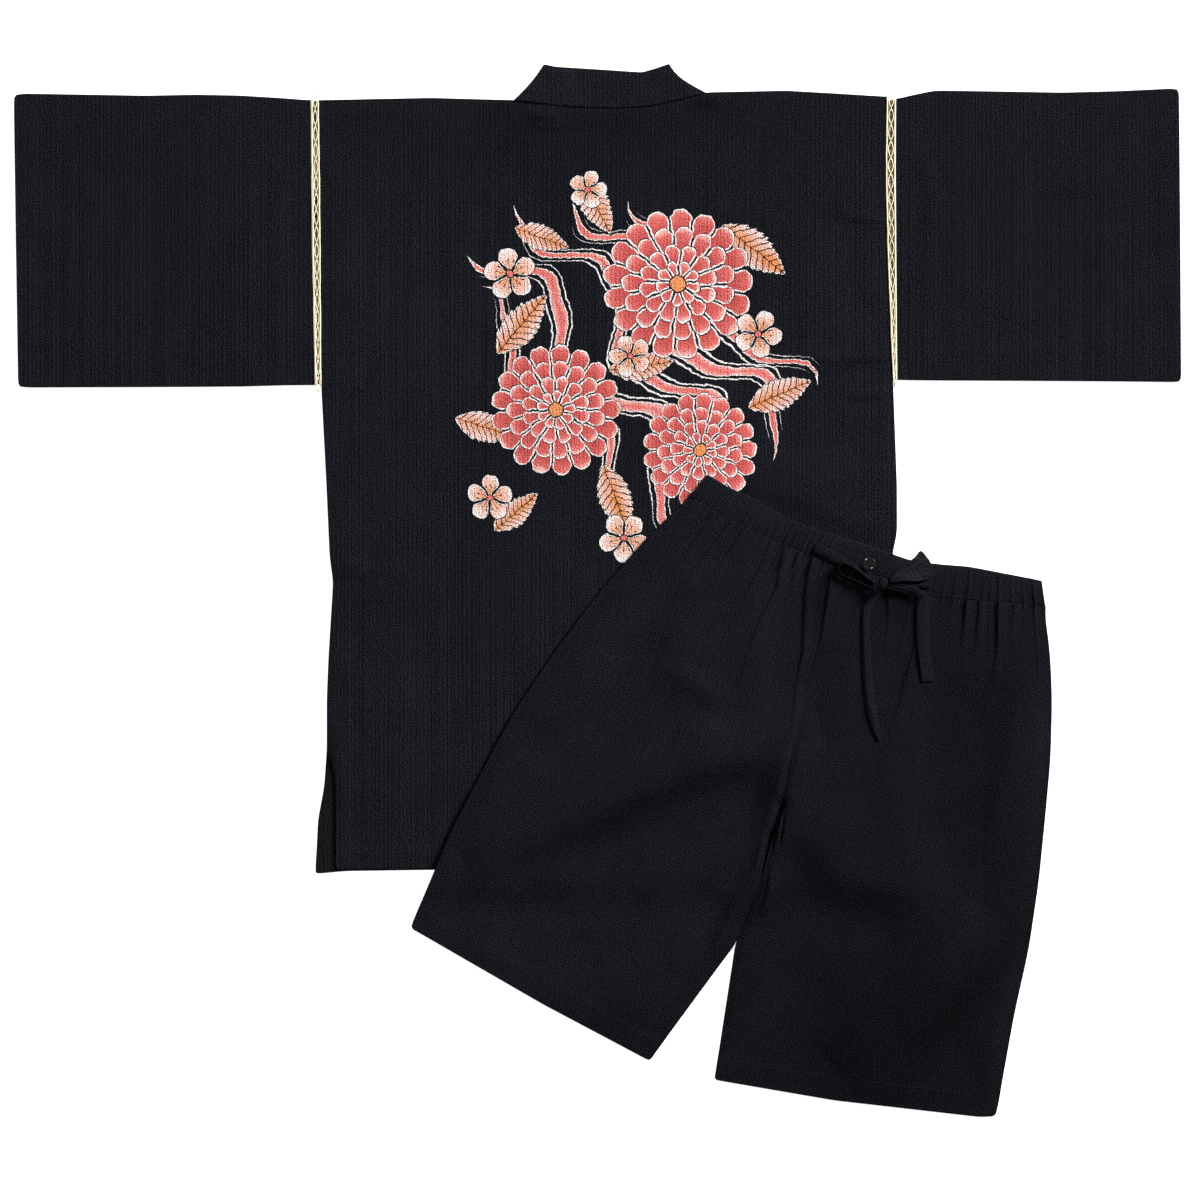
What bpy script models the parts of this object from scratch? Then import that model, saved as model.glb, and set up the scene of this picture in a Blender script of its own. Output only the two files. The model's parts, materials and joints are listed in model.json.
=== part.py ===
"""Jinbei set laid flat: a wrap jacket with its back up, and shorts on its corner with their front up.

Blender units are metres and +Z is up. X runs from cuff to cuff and Y from the hems to the collar. The
origin is on the surface, under the middle of the set. Left and right in names are the wearer's sides.

The cut is given in millimetres, in the garment's own frame. On the jacket, across is counted from the
centre line and down from the shoulder line. On the shorts, across is counted from the middle of the
waist and down from the line between the waist's corners.
"""

from collections import namedtuple

import bmesh
import bpy
import numpy as np
from mathutils import Vector

MM = 0.001
WALL = 1.2
GAP = 0.3
PLY = WALL + GAP
LACE_WALL = 1.0
FOLD_OUT = 0.9
FOLD_IN = 0.6
SEAM = 0.5

# How far round a point a panel feels what lies under it: a little over the longest cell of its grid.
JACKET_REACH = 62
SHORTS_REACH = 56
TRIM_MARGIN = 5

Garment = namedtuple("Garment", "x y turn")
JACKET = Garment(x=10.4, y=492.5, turn=0.0)
SHORTS = Garment(x=274.9, y=63.7, turn=np.radians(-17.7))

# Jacket. The two side edges, as distances from the centre line.
Side = namedtuple("Side", "down left right")
BODY_SIDES = [
    Side(0, 289.0, 278.5),
    Side(70, 288.0, 277.4),
    Side(149, 287.2, 279.0),
    Side(244, 286.8, 282.8),
    Side(290, 286.2, 285.0),
    Side(386, 281.2, 288.5),
    Side(435, 279.0, 288.7),
    Side(457, 278.0, 284.0),
    Side(483, 274.5, 283.0),
    Side(562, 279.3, 286.5),
    Side(600, 280.8, 287.0),
    Side(652, 280.8, 287.4),
]
BACK_VENT = [Side(672, 273.6, 282.6), Side(692, 272.2, 281.2), Side(770, 272.2, 281.2)]
FRONT_VENT = [Side(690, 283.5, 291.5), Side(722, 289.6, 297.6), Side(776, 292.2, 300.2)]

Edge = namedtuple("Edge", "across down")
SHOULDERS = [
    Edge(-289, 2.5),
    Edge(-177, 0.2),
    Edge(-94, 2.5),
    Edge(-42, 8.3),
    Edge(8, 10.0),
    Edge(41, 8.3),
    Edge(79, 0.0),
    Edge(98, -5.3),
    Edge(178, -7.0),
    Edge(223, -4.5),
    Edge(279, -1.0),
]
BACK_HEM = [Edge(-289, 771), Edge(-170, 769.5), Edge(289, 770)]
FRONT_HEM = [Edge(-300, 776), Edge(-262, 772.5), Edge(0, 769), Edge(262, 772.5), Edge(300, 776)]
NECK_LEFT = -94
NECK_RIGHT = 98

# The neck band down a front edge: where it is sewn on, and where its free edge lies. Across is counted
# past the centre line, towards the other front.
Band = namedtuple("Band", "down sewn free free_down")
FRONT_BAND = [
    Band(4, -90, -62, -29),
    Band(50, -66, -27, 28),
    Band(110, -36, 6, 93),
    Band(200, 2, 45, 184),
    Band(290, 38, 83, 279),
    Band(370, 62, 109, 364),
    Band(460, 74, 122, 458),
    Band(770, 80, 128, 770),
]
COLLAR_TOP = [
    Edge(-64, -33.5),
    Edge(-53, -31),
    Edge(-12, -28.5),
    Edge(34, -25.4),
    Edge(50, -30),
    Edge(61, -34),
]
COLLAR_COLUMNS = 5
COLLAR_ROWS = 2
SHOULDER_COLUMNS = 5
FRONT_COLUMNS = 8
PANEL_STEP = 46

# Openwork tape: its edge on the body is the body's own side, and this is its edge on the sleeve.
LEFT_TAPE = [Edge(296.7, 2), Edge(295.4, 149), Edge(292.5, 288)]
RIGHT_TAPE = [Edge(287.6, 0), Edge(287.2, 70), Edge(287.8, 157), Edge(288.4, 244), Edge(288.9, 288)]

# Sleeves: out is counted from the centre line.
Sleeve = namedtuple("Sleeve", "out top bottom swell")
LEFT_SLEEVE = [
    Sleeve(295, 2.2, 287.2, 0.0),
    Sleeve(324, 0.0, 287.4, 0.8),
    Sleeve(367, -2.6, 288.6, 1.8),
    Sleeve(410, -3.4, 289.0, 1.2),
    Sleeve(461, -2.4, 289.2, 0.6),
    Sleeve(523, -3.5, 289.4, 1.4),
    Sleeve(584, -4.5, 289.6, 0.9),
    Sleeve(592, -3.0, 288.6, 0.8),
]
RIGHT_SLEEVE = [
    Sleeve(289, 1.0, 282.0, 0.0),
    Sleeve(305, -2.9, 282.4, 0.6),
    Sleeve(328, -7.6, 282.6, 1.5),
    Sleeve(393, -6.6, 282.9, 1.9),
    Sleeve(454, -5.5, 283.2, 0.8),
    Sleeve(511, -7.0, 283.6, 1.3),
    Sleeve(566, -9.6, 284.2, 1.0),
    Sleeve(571, -8.6, 283.8, 0.9),
]
LEFT_CUFF = [Edge(593.8, 15), Edge(591.9, 149), Edge(589.8, 281)]
RIGHT_CUFF = [Edge(570.8, -7), Edge(571.2, 27), Edge(572.1, 135), Edge(573.0, 278)]
SLEEVE_ROWS = 8

# Tie bands on the surface, under the right front.
TIE_WIDTH = 20
TIE_DOWN = 402
TIE_FRONT_ACROSS = (116.9, 200)
TIE_SIDE_ACROSS = (204, 286)

# Shorts. Half the waist and half the width of the legs, and the edge between the legs.
WAIST_TOP = [
    Edge(-175, 0),
    Edge(-150, 6),
    Edge(-115, 10),
    Edge(-84, 18.5),
    Edge(0, 19),
    Edge(45, 20.5),
    Edge(72, 16),
    Edge(104, 8.5),
    Edge(175, 0),
]
WAIST_SEAM = [
    Edge(-182, 27),
    Edge(-120, 39.6),
    Edge(-67, 45.3),
    Edge(0, 50),
    Edge(79, 49.3),
    Edge(111, 41),
    Edge(187, 22.5),
]
CENTRE_SEAM_TOP = 50
SIDE_SEAM_TOP = 25
OUTER_LEG = [
    Side(25, 187, 182),
    Side(67, 207, 207),
    Side(110, 223, 226),
    Side(137, 231, 238),
    Side(168, 240, 249),
    Side(217, 251, 266),
    Side(287, 266, 286),
    Side(354, 277, 298),
    Side(420, 283, 309),
    Side(521, 296.5, 318),
]
INNER_LEG = [
    Side(50, -10, -10),
    Side(161, -12, -12),
    Side(252, -8.4, -8.4),
    Side(288, -3.5, -3.5),
    Side(438, -4, -4),
    Side(574, 17.5, -50),
]
LEG_HEM = [
    Edge(-318, 522),
    Edge(-169, 554.5),
    Edge(-50, 576),
    Edge(20, 574),
    Edge(138, 557.5),
    Edge(284, 528.6),
    Edge(296.5, 523),
]
LEG_ROWS = 14
LEG_COLUMNS = 7
LEG_SIGN = {"left": 1, "right": -1}
WAIST_TAPER = 0.94
WAIST_ROWS = 2

# Gathers under the waistband: their place across, their height, and how far down they run.
Gather = namedtuple("Gather", "across height length")
GATHERS = [
    Gather(-160, 2.2, 110),
    Gather(-110, 3.0, 190),
    Gather(-60, 1.5, 150),
    Gather(103, 1.6, 120),
    Gather(159, 2.4, 150),
]
GATHER_SPREAD = 25

# Drawstring and button, in the shorts' frame. Heights of the trim are counted from what it lies on.
STRING_WALL = 1.2
STRING_WIDTH = 10
TAIL_WIDTH = 12
ROUTE_STEP = 8
Route = namedtuple("Route", "across down")
STRING_RIGHT = [Route(-48, 36.5), Route(-24, 41), Route(0, 47), Route(20.4, 51)]
STRING_LEFT = [Route(71, 35.5), Route(56, 40), Route(44, 43.5), Route(31.8, 46.5)]
TAIL_RIGHT = [
    Route(26, 59.6),
    Route(21.4, 72),
    Route(21, 87),
    Route(31.4, 118),
    Route(46.3, 156.5),
    Route(58.9, 180),
    Route(74, 201),
]
TAIL_LEFT = [
    Route(32.4, 52.5),
    Route(49, 51.8),
    Route(64, 52.5),
    Route(74, 61),
    Route(79.6, 77),
    Route(88, 100),
    Route(94, 114),
    Route(99.6, 128),
]
LOOP_RIGHT = [
    Route(19.6, 60.5),
    Route(8, 60),
    Route(-4, 58.4),
    Route(-15, 58),
    Route(-20.5, 51),
    Route(-20, 42.6),
    Route(-10, 40.6),
    Route(1, 43.6),
    Route(12, 48.6),
    Route(19.6, 52),
]
LOOP_HEIGHT = 6
LOOP_WALL = 1.2
Flap = namedtuple("Flap", "upper_across upper_down lower_across lower_down")
LOOP_LEFT = [
    Flap(31.8, 44.4, 32.6, 48),
    Flap(40, 29.5, 45, 41.5),
    Flap(49, 17.5, 60, 36),
    Flap(54, 9.9, 70, 30.3),
    Flap(63, 14, 70.8, 22),
]
LOOP_PLIES = 2.7
KNOT_AT = Route(26, 51)
KNOT_SIZE = (9.5, 12, 6.5)
KNOT_ROUND = 2.4

BUTTON_AT = Route(8, 36.6)
BUTTON_RADIUS = 6.2
BUTTON_THICKNESS = 2.4
BUTTON_EDGE = 0.5
BUTTON_RIM = 1.2
BUTTON_DISH = 0.7
BUTTON_HOLE_RADIUS = 0.75
BUTTON_HOLE_SPREAD = 1.6
BUTTON_SIDES = 24
DRILL_SIDES = 10

NAVY = (0.0116, 0.0123, 0.0165)
NAVY_DARK = (0.0085, 0.0092, 0.0125)
CREAM = (0.60, 0.54, 0.38)
BLACK = (0.006, 0.006, 0.007)

laid = {}


def at(table, key, value, places):
    """One column of a table, read at any places along another."""
    rows = sorted(table, key=lambda row: getattr(row, key))
    return np.interp(places, [getattr(row, key) for row in rows], [getattr(row, value) for row in rows])


def stations(table, key, step):
    """The table's own stations, with more between them where they are over a step apart."""
    own = sorted({getattr(row, key) for row in table})
    places = [own[0]]
    for first, last in zip(own, own[1:]):
        count = int(np.ceil((last - first) / step))
        places += list(np.linspace(first, last, count + 1)[1:])
    return np.array(places)


def in_world(garment, across, down):
    """Points of a garment's cut as X and Y on the surface, in millimetres."""
    cos, sin = np.cos(garment.turn), np.sin(garment.turn)
    x = garment.x + across * cos + down * sin
    y = garment.y + across * sin - down * cos
    return np.stack([x, y], axis=-1)


def denser(top, parts=3):
    """A laid surface with more points between its own, along both ways of its grid."""
    for axis in (0, 1):
        count = (top.shape[axis] - 1) * parts + 1
        place = np.linspace(0, top.shape[axis] - 1, count)
        low = place.astype(int).clip(max=top.shape[axis] - 2)
        share = (place - low).reshape((-1, 1, 1) if axis == 0 else (1, -1, 1))
        top = np.take(top, low, axis) * (1 - share) + np.take(top, low + 1, axis) * share
    return top.reshape(-1, 3)


def longest_cell(across, down):
    """The longest diagonal in a grid of points."""
    points = np.stack([across, down], axis=-1)
    falling = np.linalg.norm(points[1:, 1:] - points[:-1, :-1], axis=-1)
    rising = np.linalg.norm(points[1:, :-1] - points[:-1, 1:], axis=-1)
    return max(falling.max(), rising.max())


def rest(garment, across, down, below, reach=None):
    """How high a cloth's underside lies at each point, over all that lies below it within its reach."""
    reach = reach or longest_cell(across, down) + TRIM_MARGIN
    points = in_world(garment, across, down).reshape(-1, 2)
    height = np.zeros(len(points))
    for name in below:
        top = denser(laid[name])
        apart = np.linalg.norm(points[:, None] - top[None, :, :2], axis=-1)
        near = np.where(apart < reach, top[:, 2] + GAP, 0)
        height = np.maximum(height, near.max(axis=1))
    return height.reshape(across.shape)


def note_top(name, garment, across, down, height):
    laid[name] = np.dstack([in_world(garment, across, down), height])


def add_object(name, mesh, garment, material):
    obj = bpy.data.objects.new(name, mesh)
    bpy.data.collections["jinbei_set"].objects.link(obj)
    obj.parent = garment
    mesh.materials.append(material)
    return obj


def turned_over(across, down):
    """Whether a grid's columns run the wrong way for its face to be up."""
    row = (across[0, 1] - across[0, 0], down[0, 1] - down[0, 0])
    column = (across[1, 0] - across[0, 0], down[1, 0] - down[0, 0])
    return row[0] * column[1] - row[1] * column[0] < 0


def add_sheet(name, garment, across, down, height, material, wall=WALL):
    """A cloth on a grid of points, from its underside up. Rows run down it and columns across it."""
    if turned_over(across, down):
        across, down, height = across[:, ::-1], down[:, ::-1], height[:, ::-1]
    rows, columns = across.shape
    sheet = bmesh.new()
    bmesh.ops.create_grid(sheet, x_segments=columns - 1, y_segments=rows - 1, size=1)
    for vertex in sheet.verts:
        column = round((vertex.co.x + 1) / 2 * (columns - 1))
        row = round((1 - vertex.co.y) / 2 * (rows - 1))
        place = (across[row, column], -down[row, column], height[row, column])
        vertex.co = Vector(place) * MM
    mesh = bpy.data.meshes.new(name)
    sheet.to_mesh(mesh)
    sheet.free()
    obj = add_object(name, mesh, EMPTIES[garment], material)
    thicken = obj.modifiers.new("wall", "SOLIDIFY")
    thicken.thickness = wall * MM
    thicken.offset = 1
    note_top(name, garment, across, down, height + wall)
    return obj


def loop_points(across, down, low, high, bulge):
    """A closed loop round a flattened tube: along its lower side, round a fold, back, and round a fold."""
    line = np.stack([across, -down], axis=-1)
    ends = []
    for end, inner in ((line[-1], line[-2]), (line[0], line[1])):
        along = (end - inner) / np.linalg.norm(end - inner)
        ends.append(end + along * bulge)
    middle = (low + high) / 2
    lower = [(*point, z) for point, z in zip(line, low)]
    upper = [(*point, z) for point, z in zip(line, high)]
    return lower + [(*ends[0], middle[-1])] + upper[::-1] + [(*ends[1], middle[0])]


def add_tube(name, garment, across, down, low, high, material, wall=WALL):
    """A flattened tube of cloth, open at both ends. Each row is a station along it, from fold to fold."""
    loops = []
    for row in range(len(across)):
        outer = loop_points(across[row], down[row], low[row], high[row], FOLD_OUT)
        line = np.stack([across[row], down[row]])
        for end, beside in ((0, 1), (-1, -2)):
            inwards = line[:, beside] - line[:, end]
            line[:, end] += inwards / np.linalg.norm(inwards) * FOLD_IN
        inner = loop_points(*line, low[row] + wall, high[row] - wall, FOLD_IN / 2)
        loops.append((outer, inner))
    tube = bmesh.new()
    verts = [[[tube.verts.new(Vector(p) * MM) for p in loop] for loop in pair] for pair in loops]
    count = len(verts[0][0])
    for k in range(count):
        after = (k + 1) % count
        for layer in (0, 1):
            for first, last in zip(verts, verts[1:]):
                tube.faces.new((first[layer][k], last[layer][k], last[layer][after], first[layer][after]))
        for pair in (verts[0], verts[-1]):
            tube.faces.new((pair[0][k], pair[0][after], pair[1][after], pair[1][k]))
    bmesh.ops.recalc_face_normals(tube, faces=tube.faces)
    mesh = bpy.data.meshes.new(name)
    tube.to_mesh(mesh)
    tube.free()
    note_top(name, garment, across, down, high)
    return add_object(name, mesh, EMPTIES[garment], material)


def material(name, colour, roughness):
    made = bpy.data.materials.new(name)
    made.use_nodes = True
    shader = made.node_tree.nodes["Principled BSDF"]
    shader.inputs["Base Color"].default_value = (*colour, 1)
    shader.inputs["Roughness"].default_value = roughness
    shader.inputs["Metallic"].default_value = 0
    return made


def body_grid(sides, hem, left, right, share):
    """Rows down a body panel, between two edges given as functions of down."""
    downs = stations(sides, "down", PANEL_STEP)
    across = np.outer(left(downs), 1 - share) + np.outer(right(downs), share)
    top = at(SHOULDERS, "across", "down", across)
    bottom = at(hem, "across", "down", across)
    part = downs[:, None] / downs[-1]
    return across, top * (1 - part) + bottom * part


def neck_columns():
    return np.linspace(NECK_LEFT, NECK_RIGHT, COLLAR_COLUMNS + 1)


def jacket_back(cloth, below):
    sides = BODY_SIDES + BACK_VENT
    left, right = -BODY_SIDES[0].left, BODY_SIDES[0].right
    on_left = np.linspace(left, NECK_LEFT, SHOULDER_COLUMNS + 1)[:-1]
    on_right = np.linspace(NECK_RIGHT, right, SHOULDER_COLUMNS + 1)[1:]
    columns = np.concatenate([on_left, neck_columns(), on_right])
    across, down = body_grid(
        sides,
        BACK_HEM,
        lambda d: -at(sides, "down", "left", d),
        lambda d: at(sides, "down", "right", d),
        (columns - left) / (right - left),
    )
    height = rest(JACKET, across, down, below, JACKET_REACH)
    add_sheet("jacket_back", JACKET, across, down, height, cloth)


def front_grids(sign, side):
    """A front panel, and the neck band down its edge. Sign is 1 where its side edge is on the left."""
    sides = BODY_SIDES + FRONT_VENT
    sewn_table = [Band(0, -91, 0, 0)] + FRONT_BAND
    across, down = body_grid(
        sides,
        FRONT_HEM,
        lambda d: -at(sides, "down", side, d),
        lambda d: at(sewn_table, "down", "sewn", d),
        np.linspace(0, 1, FRONT_COLUMNS + 1),
    )
    sewn_down = down[:, -1]
    sewn = across[:, -1] + SEAM
    width = at(FRONT_BAND, "down", "free", sewn_down) - at(FRONT_BAND, "down", "sewn", sewn_down)
    rise = at(FRONT_BAND, "down", "free_down", sewn_down) - sewn_down
    share = np.linspace(0, 1, 3)
    band_across = sewn[:, None] + np.outer(width, share)
    band_down = sewn_down[:, None] + np.outer(rise, share)
    if sign < 0:
        return (-across[:, ::-1], down[:, ::-1]), (-band_across[:, ::-1], band_down[:, ::-1])
    return (across, down), (band_across, band_down)


def jacket_front(name, sign, cloth, below):
    panel, band = front_grids(sign, name)
    for piece, (across, down) in (("jacket_front_", panel), ("collar_front_", band)):
        height = rest(JACKET, across, down, below, JACKET_REACH)
        add_sheet(piece + name, JACKET, across, down, height, cloth)


def collar_back(cloth, below):
    seam = neck_columns()
    top = np.linspace(COLLAR_TOP[0].across, COLLAR_TOP[-1].across, COLLAR_COLUMNS + 1)
    seam_down = at(SHOULDERS, "across", "down", seam) - SEAM
    top_down = at(COLLAR_TOP, "across", "down", top)
    part = np.linspace(0, 1, COLLAR_ROWS + 1)[:, None]
    across = top * (1 - part) + seam * part
    down = top_down * (1 - part) + seam_down * part
    height = rest(JACKET, across, down, below, JACKET_REACH)
    add_sheet("collar_back", JACKET, across, down, height, cloth)


def tie(name, across_range, cloth, below):
    across, down = np.meshgrid(across_range, TIE_DOWN + np.array([-0.5, 0.5]) * TIE_WIDTH)
    height = rest(JACKET, across, down, below)
    add_sheet(name, JACKET, across, down, height, cloth)


def sleeve(name, sign, sections, tape, cuff, cloth):
    """A sleeve as a tube from the tape to the cuff, folded at the shoulder and sewn under the arm."""
    outs = stations(sections, "out", PANEL_STEP)
    share = (outs - outs[0]) / (outs[-1] - outs[0])
    top = at(sections, "out", "top", outs) + FOLD_OUT
    bottom = at(sections, "out", "bottom", outs) - FOLD_OUT
    part = np.linspace(0, 1, SLEEVE_ROWS + 1)
    down = np.outer(top, 1 - part) + np.outer(bottom, part)
    start = at(tape, "down", "across", down) + SEAM
    end = at(cuff, "down", "across", down)
    across = sign * (start * (1 - share[:, None]) + end * share[:, None])
    swell = np.outer(at(sections, "out", "swell", outs), np.sin(np.pi * part) ** 0.5)
    low = np.zeros_like(across)
    high = low + WALL + PLY + swell
    add_tube(name, JACKET, across, down, low, high, cloth)


def lace_tape(name, sign, side, sections, tape, lace):
    """Openwork tape round the armhole, between the body's edge and the sleeve."""
    part = np.linspace(0, 1, SLEEVE_ROWS + 1)
    down = (sections[0].top + FOLD_OUT) * (1 - part) + (sections[0].bottom - FOLD_OUT) * part
    body = at(BODY_SIDES, "down", side, down) + SEAM
    sleeve_edge = at(tape, "down", "across", down) - SEAM / 2
    across = sign * np.stack([body, sleeve_edge])
    down = np.stack([down, down])
    low = np.zeros_like(across)
    add_tube(name, JACKET, across, down, low, low + WALL + PLY, lace, wall=LACE_WALL)


def gather_lift(across, fall):
    """How far the gathers raise a cloth, by their place at the waist and the distance below its seam."""
    lift = np.zeros(np.broadcast(across, fall).shape)
    for gather in GATHERS:
        beside = (1 - np.abs(across - gather.across) / GATHER_SPREAD).clip(min=0)
        fade = (1 - fall / gather.length).clip(0, 1) ** 1.5
        lift = np.maximum(lift, gather.height * beside * fade)
    return lift


def waist_columns(side):
    """Where the columns of a leg meet the waist seam, from the crotch line to the side."""
    centre = at(INNER_LEG, "down", side, CENTRE_SEAM_TOP)
    outer = LEG_SIGN[side] * at(OUTER_LEG, "down", side, SIDE_SEAM_TOP)
    return np.linspace(centre, outer, LEG_COLUMNS + 1)


def leg_grid(side):
    """A leg from the waist seam to its hem. The columns run from the crotch line to the side."""
    part = np.linspace(0, 1, LEG_ROWS + 1)
    inner_down = INNER_LEG[0].down + (INNER_LEG[-1].down - INNER_LEG[0].down) * part
    outer_down = OUTER_LEG[0].down + (OUTER_LEG[-1].down - OUTER_LEG[0].down) * part
    inner = at(INNER_LEG, "down", side, inner_down) + LEG_SIGN[side] * SEAM / 2
    outer = at(OUTER_LEG, "down", side, outer_down) * LEG_SIGN[side]
    columns = np.linspace(0, 1, LEG_COLUMNS + 1)
    across = np.outer(inner, 1 - columns) + np.outer(outer, columns)
    down = np.outer(inner_down, 1 - columns) + np.outer(outer_down, columns)
    seam = at(WAIST_SEAM, "across", "down", across[0]) + SEAM
    hem = at(LEG_HEM, "across", "down", across[-1])
    down += (seam - down[0]) * (1 - part[:, None]) + (hem - down[-1]) * part[:, None]
    return across, down


def shorts_leg(side, cloth, below):
    """The back and the front of one leg, on the same points, with the gathers in the front."""
    across, down = leg_grid(side)
    height = rest(SHORTS, across, down, below, SHORTS_REACH)
    add_sheet("shorts_back_" + side, SHORTS, across, down, height, cloth)
    lift = gather_lift(waist_columns(side)[None, :], down - down[0])
    add_sheet("shorts_front_" + side, SHORTS, across, down, height + PLY + lift, cloth)


def waistband(cloth, below):
    seam = np.concatenate([waist_columns("right")[::-1], waist_columns("left")[1:]])
    seam[0] += FOLD_OUT
    seam[-1] -= FOLD_OUT
    part = np.linspace(0, 1, WAIST_ROWS + 1)[:, None]
    across = seam * (WAIST_TAPER * (1 - part) + part)
    top_down = at(WAIST_TOP, "across", "down", across[0])
    seam_down = at(WAIST_SEAM, "across", "down", across[-1])
    down = top_down * (1 - part) + seam_down * part
    low = rest(SHORTS, across, down, below, SHORTS_REACH)
    high = low + PLY + WALL + gather_lift(seam[None, :], np.zeros_like(down))
    add_tube("waistband", SHORTS, across, down, low, high, cloth)


def smooth(route, step):
    """Points a step apart on a smooth curve through a route's own points."""
    own = np.array(route, dtype=float)
    ends = np.vstack([2 * own[0] - own[1], own, 2 * own[-1] - own[-2]])
    points = [own[0]]
    for before, first, last, after in zip(ends, ends[1:], ends[2:], ends[3:]):
        count = max(1, round(np.linalg.norm(last - first) / step))
        for part in np.linspace(0, 1, count + 1)[1:]:
            bend = (last - before) * part + (2 * before - 5 * first + 4 * last - after) * part**2
            bend += (3 * first - before - 3 * last + after) * part**3
            points.append(first + bend / 2)
    return np.array(points)


def ribbon(name, route, width, cloth, below):
    """A flat band of cloth laid along a route."""
    points = smooth(route, ROUTE_STEP)
    along = np.gradient(points, axis=0)
    along /= np.linalg.norm(along, axis=1)[:, None]
    sideways = np.stack([-along[:, 1], along[:, 0]], axis=1) * width / 2
    across = np.stack([points[:, 0] - sideways[:, 0], points[:, 0] + sideways[:, 0]], axis=1)
    down = np.stack([points[:, 1] - sideways[:, 1], points[:, 1] + sideways[:, 1]], axis=1)
    height = rest(SHORTS, across, down, below)
    add_sheet(name, SHORTS, across, down, height, cloth, wall=STRING_WALL)


def standing_loop(cloth, below):
    """The bow's open loop: a band of cloth that stands on its edge."""
    points = smooth(LOOP_RIGHT, ROUTE_STEP)
    base = rest(SHORTS, points[:, 0], points[:, 1], below, ROUTE_STEP).max()
    loop = bmesh.new()
    rows = []
    for across, down in points:
        rows.append([loop.verts.new(Vector((across, -down, z)) * MM) for z in (base, base + LOOP_HEIGHT)])
    for first, last in zip(rows, rows[1:]):
        loop.faces.new((first[0], last[0], last[1], first[1]))
    mesh = bpy.data.meshes.new("bow_loop_right")
    loop.to_mesh(mesh)
    loop.free()
    obj = add_object("bow_loop_right", mesh, EMPTIES[SHORTS], cloth)
    thicken = obj.modifiers.new("wall", "SOLIDIFY")
    thicken.thickness = LOOP_WALL * MM
    thicken.offset = 0


def flat_loop(cloth, below):
    """The bow's other loop, folded flat: its two plies are one solid."""
    across = np.array([[flap.upper_across, flap.lower_across] for flap in LOOP_LEFT])
    down = np.array([[flap.upper_down, flap.lower_down] for flap in LOOP_LEFT])
    height = rest(SHORTS, across, down, below)
    add_sheet("bow_loop_left", SHORTS, across, down, height, cloth, wall=LOOP_PLIES)


def height_at(place, width, depth, below):
    """How high a small piece lies, from the corners of its footprint."""
    halves = np.array([-0.5, 0.5])
    across, down = np.meshgrid(place.across + halves * width, place.down + halves * depth)
    return rest(SHORTS, across, down, below).max()


def bow_knot(cloth, below):
    width, depth, height = KNOT_SIZE
    base = height_at(KNOT_AT, width, depth, below)
    knot = bmesh.new()
    bmesh.ops.create_cube(knot, size=1)
    bmesh.ops.scale(knot, vec=Vector(KNOT_SIZE) * MM, verts=knot.verts)
    mesh = bpy.data.meshes.new("bow_knot")
    knot.to_mesh(mesh)
    knot.free()
    obj = add_object("bow_knot", mesh, EMPTIES[SHORTS], cloth)
    obj.location = Vector((KNOT_AT.across, -KNOT_AT.down, base + height / 2)) * MM
    soften = obj.modifiers.new("soft_edges", "BEVEL")
    soften.width = KNOT_ROUND * MM
    soften.segments = 3


def button(gloss, below):
    """A four-hole button, turned from its profile and drilled."""
    base = height_at(BUTTON_AT, BUTTON_RADIUS * 2, BUTTON_RADIUS * 2, below)
    top = BUTTON_THICKNESS
    profile = [
        (0, 0),
        (BUTTON_RADIUS - BUTTON_EDGE * 2, 0),
        (BUTTON_RADIUS, BUTTON_EDGE * 2),
        (BUTTON_RADIUS, top - BUTTON_EDGE),
        (BUTTON_RADIUS - BUTTON_EDGE, top),
        (BUTTON_RADIUS - BUTTON_RIM, top),
        (BUTTON_RADIUS - BUTTON_RIM - BUTTON_DISH, top - BUTTON_DISH),
        (0, top - BUTTON_DISH),
    ]
    points = [Vector((radius, 0, height)) * MM for radius, height in profile]
    mesh = bpy.data.meshes.new("button")
    mesh.from_pydata(points, [(k, k + 1) for k in range(len(points) - 1)], [])
    obj = add_object("button", mesh, EMPTIES[SHORTS], gloss)
    obj.location = Vector((BUTTON_AT.across, -BUTTON_AT.down, base)) * MM
    turn = obj.modifiers.new("turned", "SCREW")
    turn.steps = turn.render_steps = BUTTON_SIDES
    turn.use_merge_vertices = True
    turn.merge_threshold = 0.00001
    for column in (-1, 1):
        for row in (-1, 1):
            drill = button_drill(obj, column, row)
            hole = obj.modifiers.new("hole", "BOOLEAN")
            hole.operation = "DIFFERENCE"
            hole.solver = "EXACT"
            hole.object = drill


def button_drill(obj, column, row):
    bpy.ops.mesh.primitive_cylinder_add(
        vertices=DRILL_SIDES, radius=BUTTON_HOLE_RADIUS * MM, depth=BUTTON_THICKNESS * 3 * MM
    )
    drill = bpy.context.object
    drill.name = "drill"
    for home in list(drill.users_collection):
        home.objects.unlink(drill)
    bpy.data.collections["cutters"].objects.link(drill)
    drill.parent = obj
    drill.location = Vector((column, row, 0)) * BUTTON_HOLE_SPREAD * MM
    drill.hide_render = True
    drill.display_type = "WIRE"
    return drill


def clear_scene():
    for obj in list(bpy.data.objects):
        bpy.data.objects.remove(obj)
    for name in ("jinbei_set", "cutters"):
        bpy.context.scene.collection.children.link(bpy.data.collections.new(name))


def add_empty(name, garment):
    """What a garment's pieces hang on: its own frame."""
    empty = bpy.data.objects.new(name, None)
    empty.location = Vector((garment.x, garment.y, 0)) * MM
    empty.rotation_euler.z = garment.turn
    bpy.data.collections["jinbei_set"].objects.link(empty)
    return empty


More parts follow.
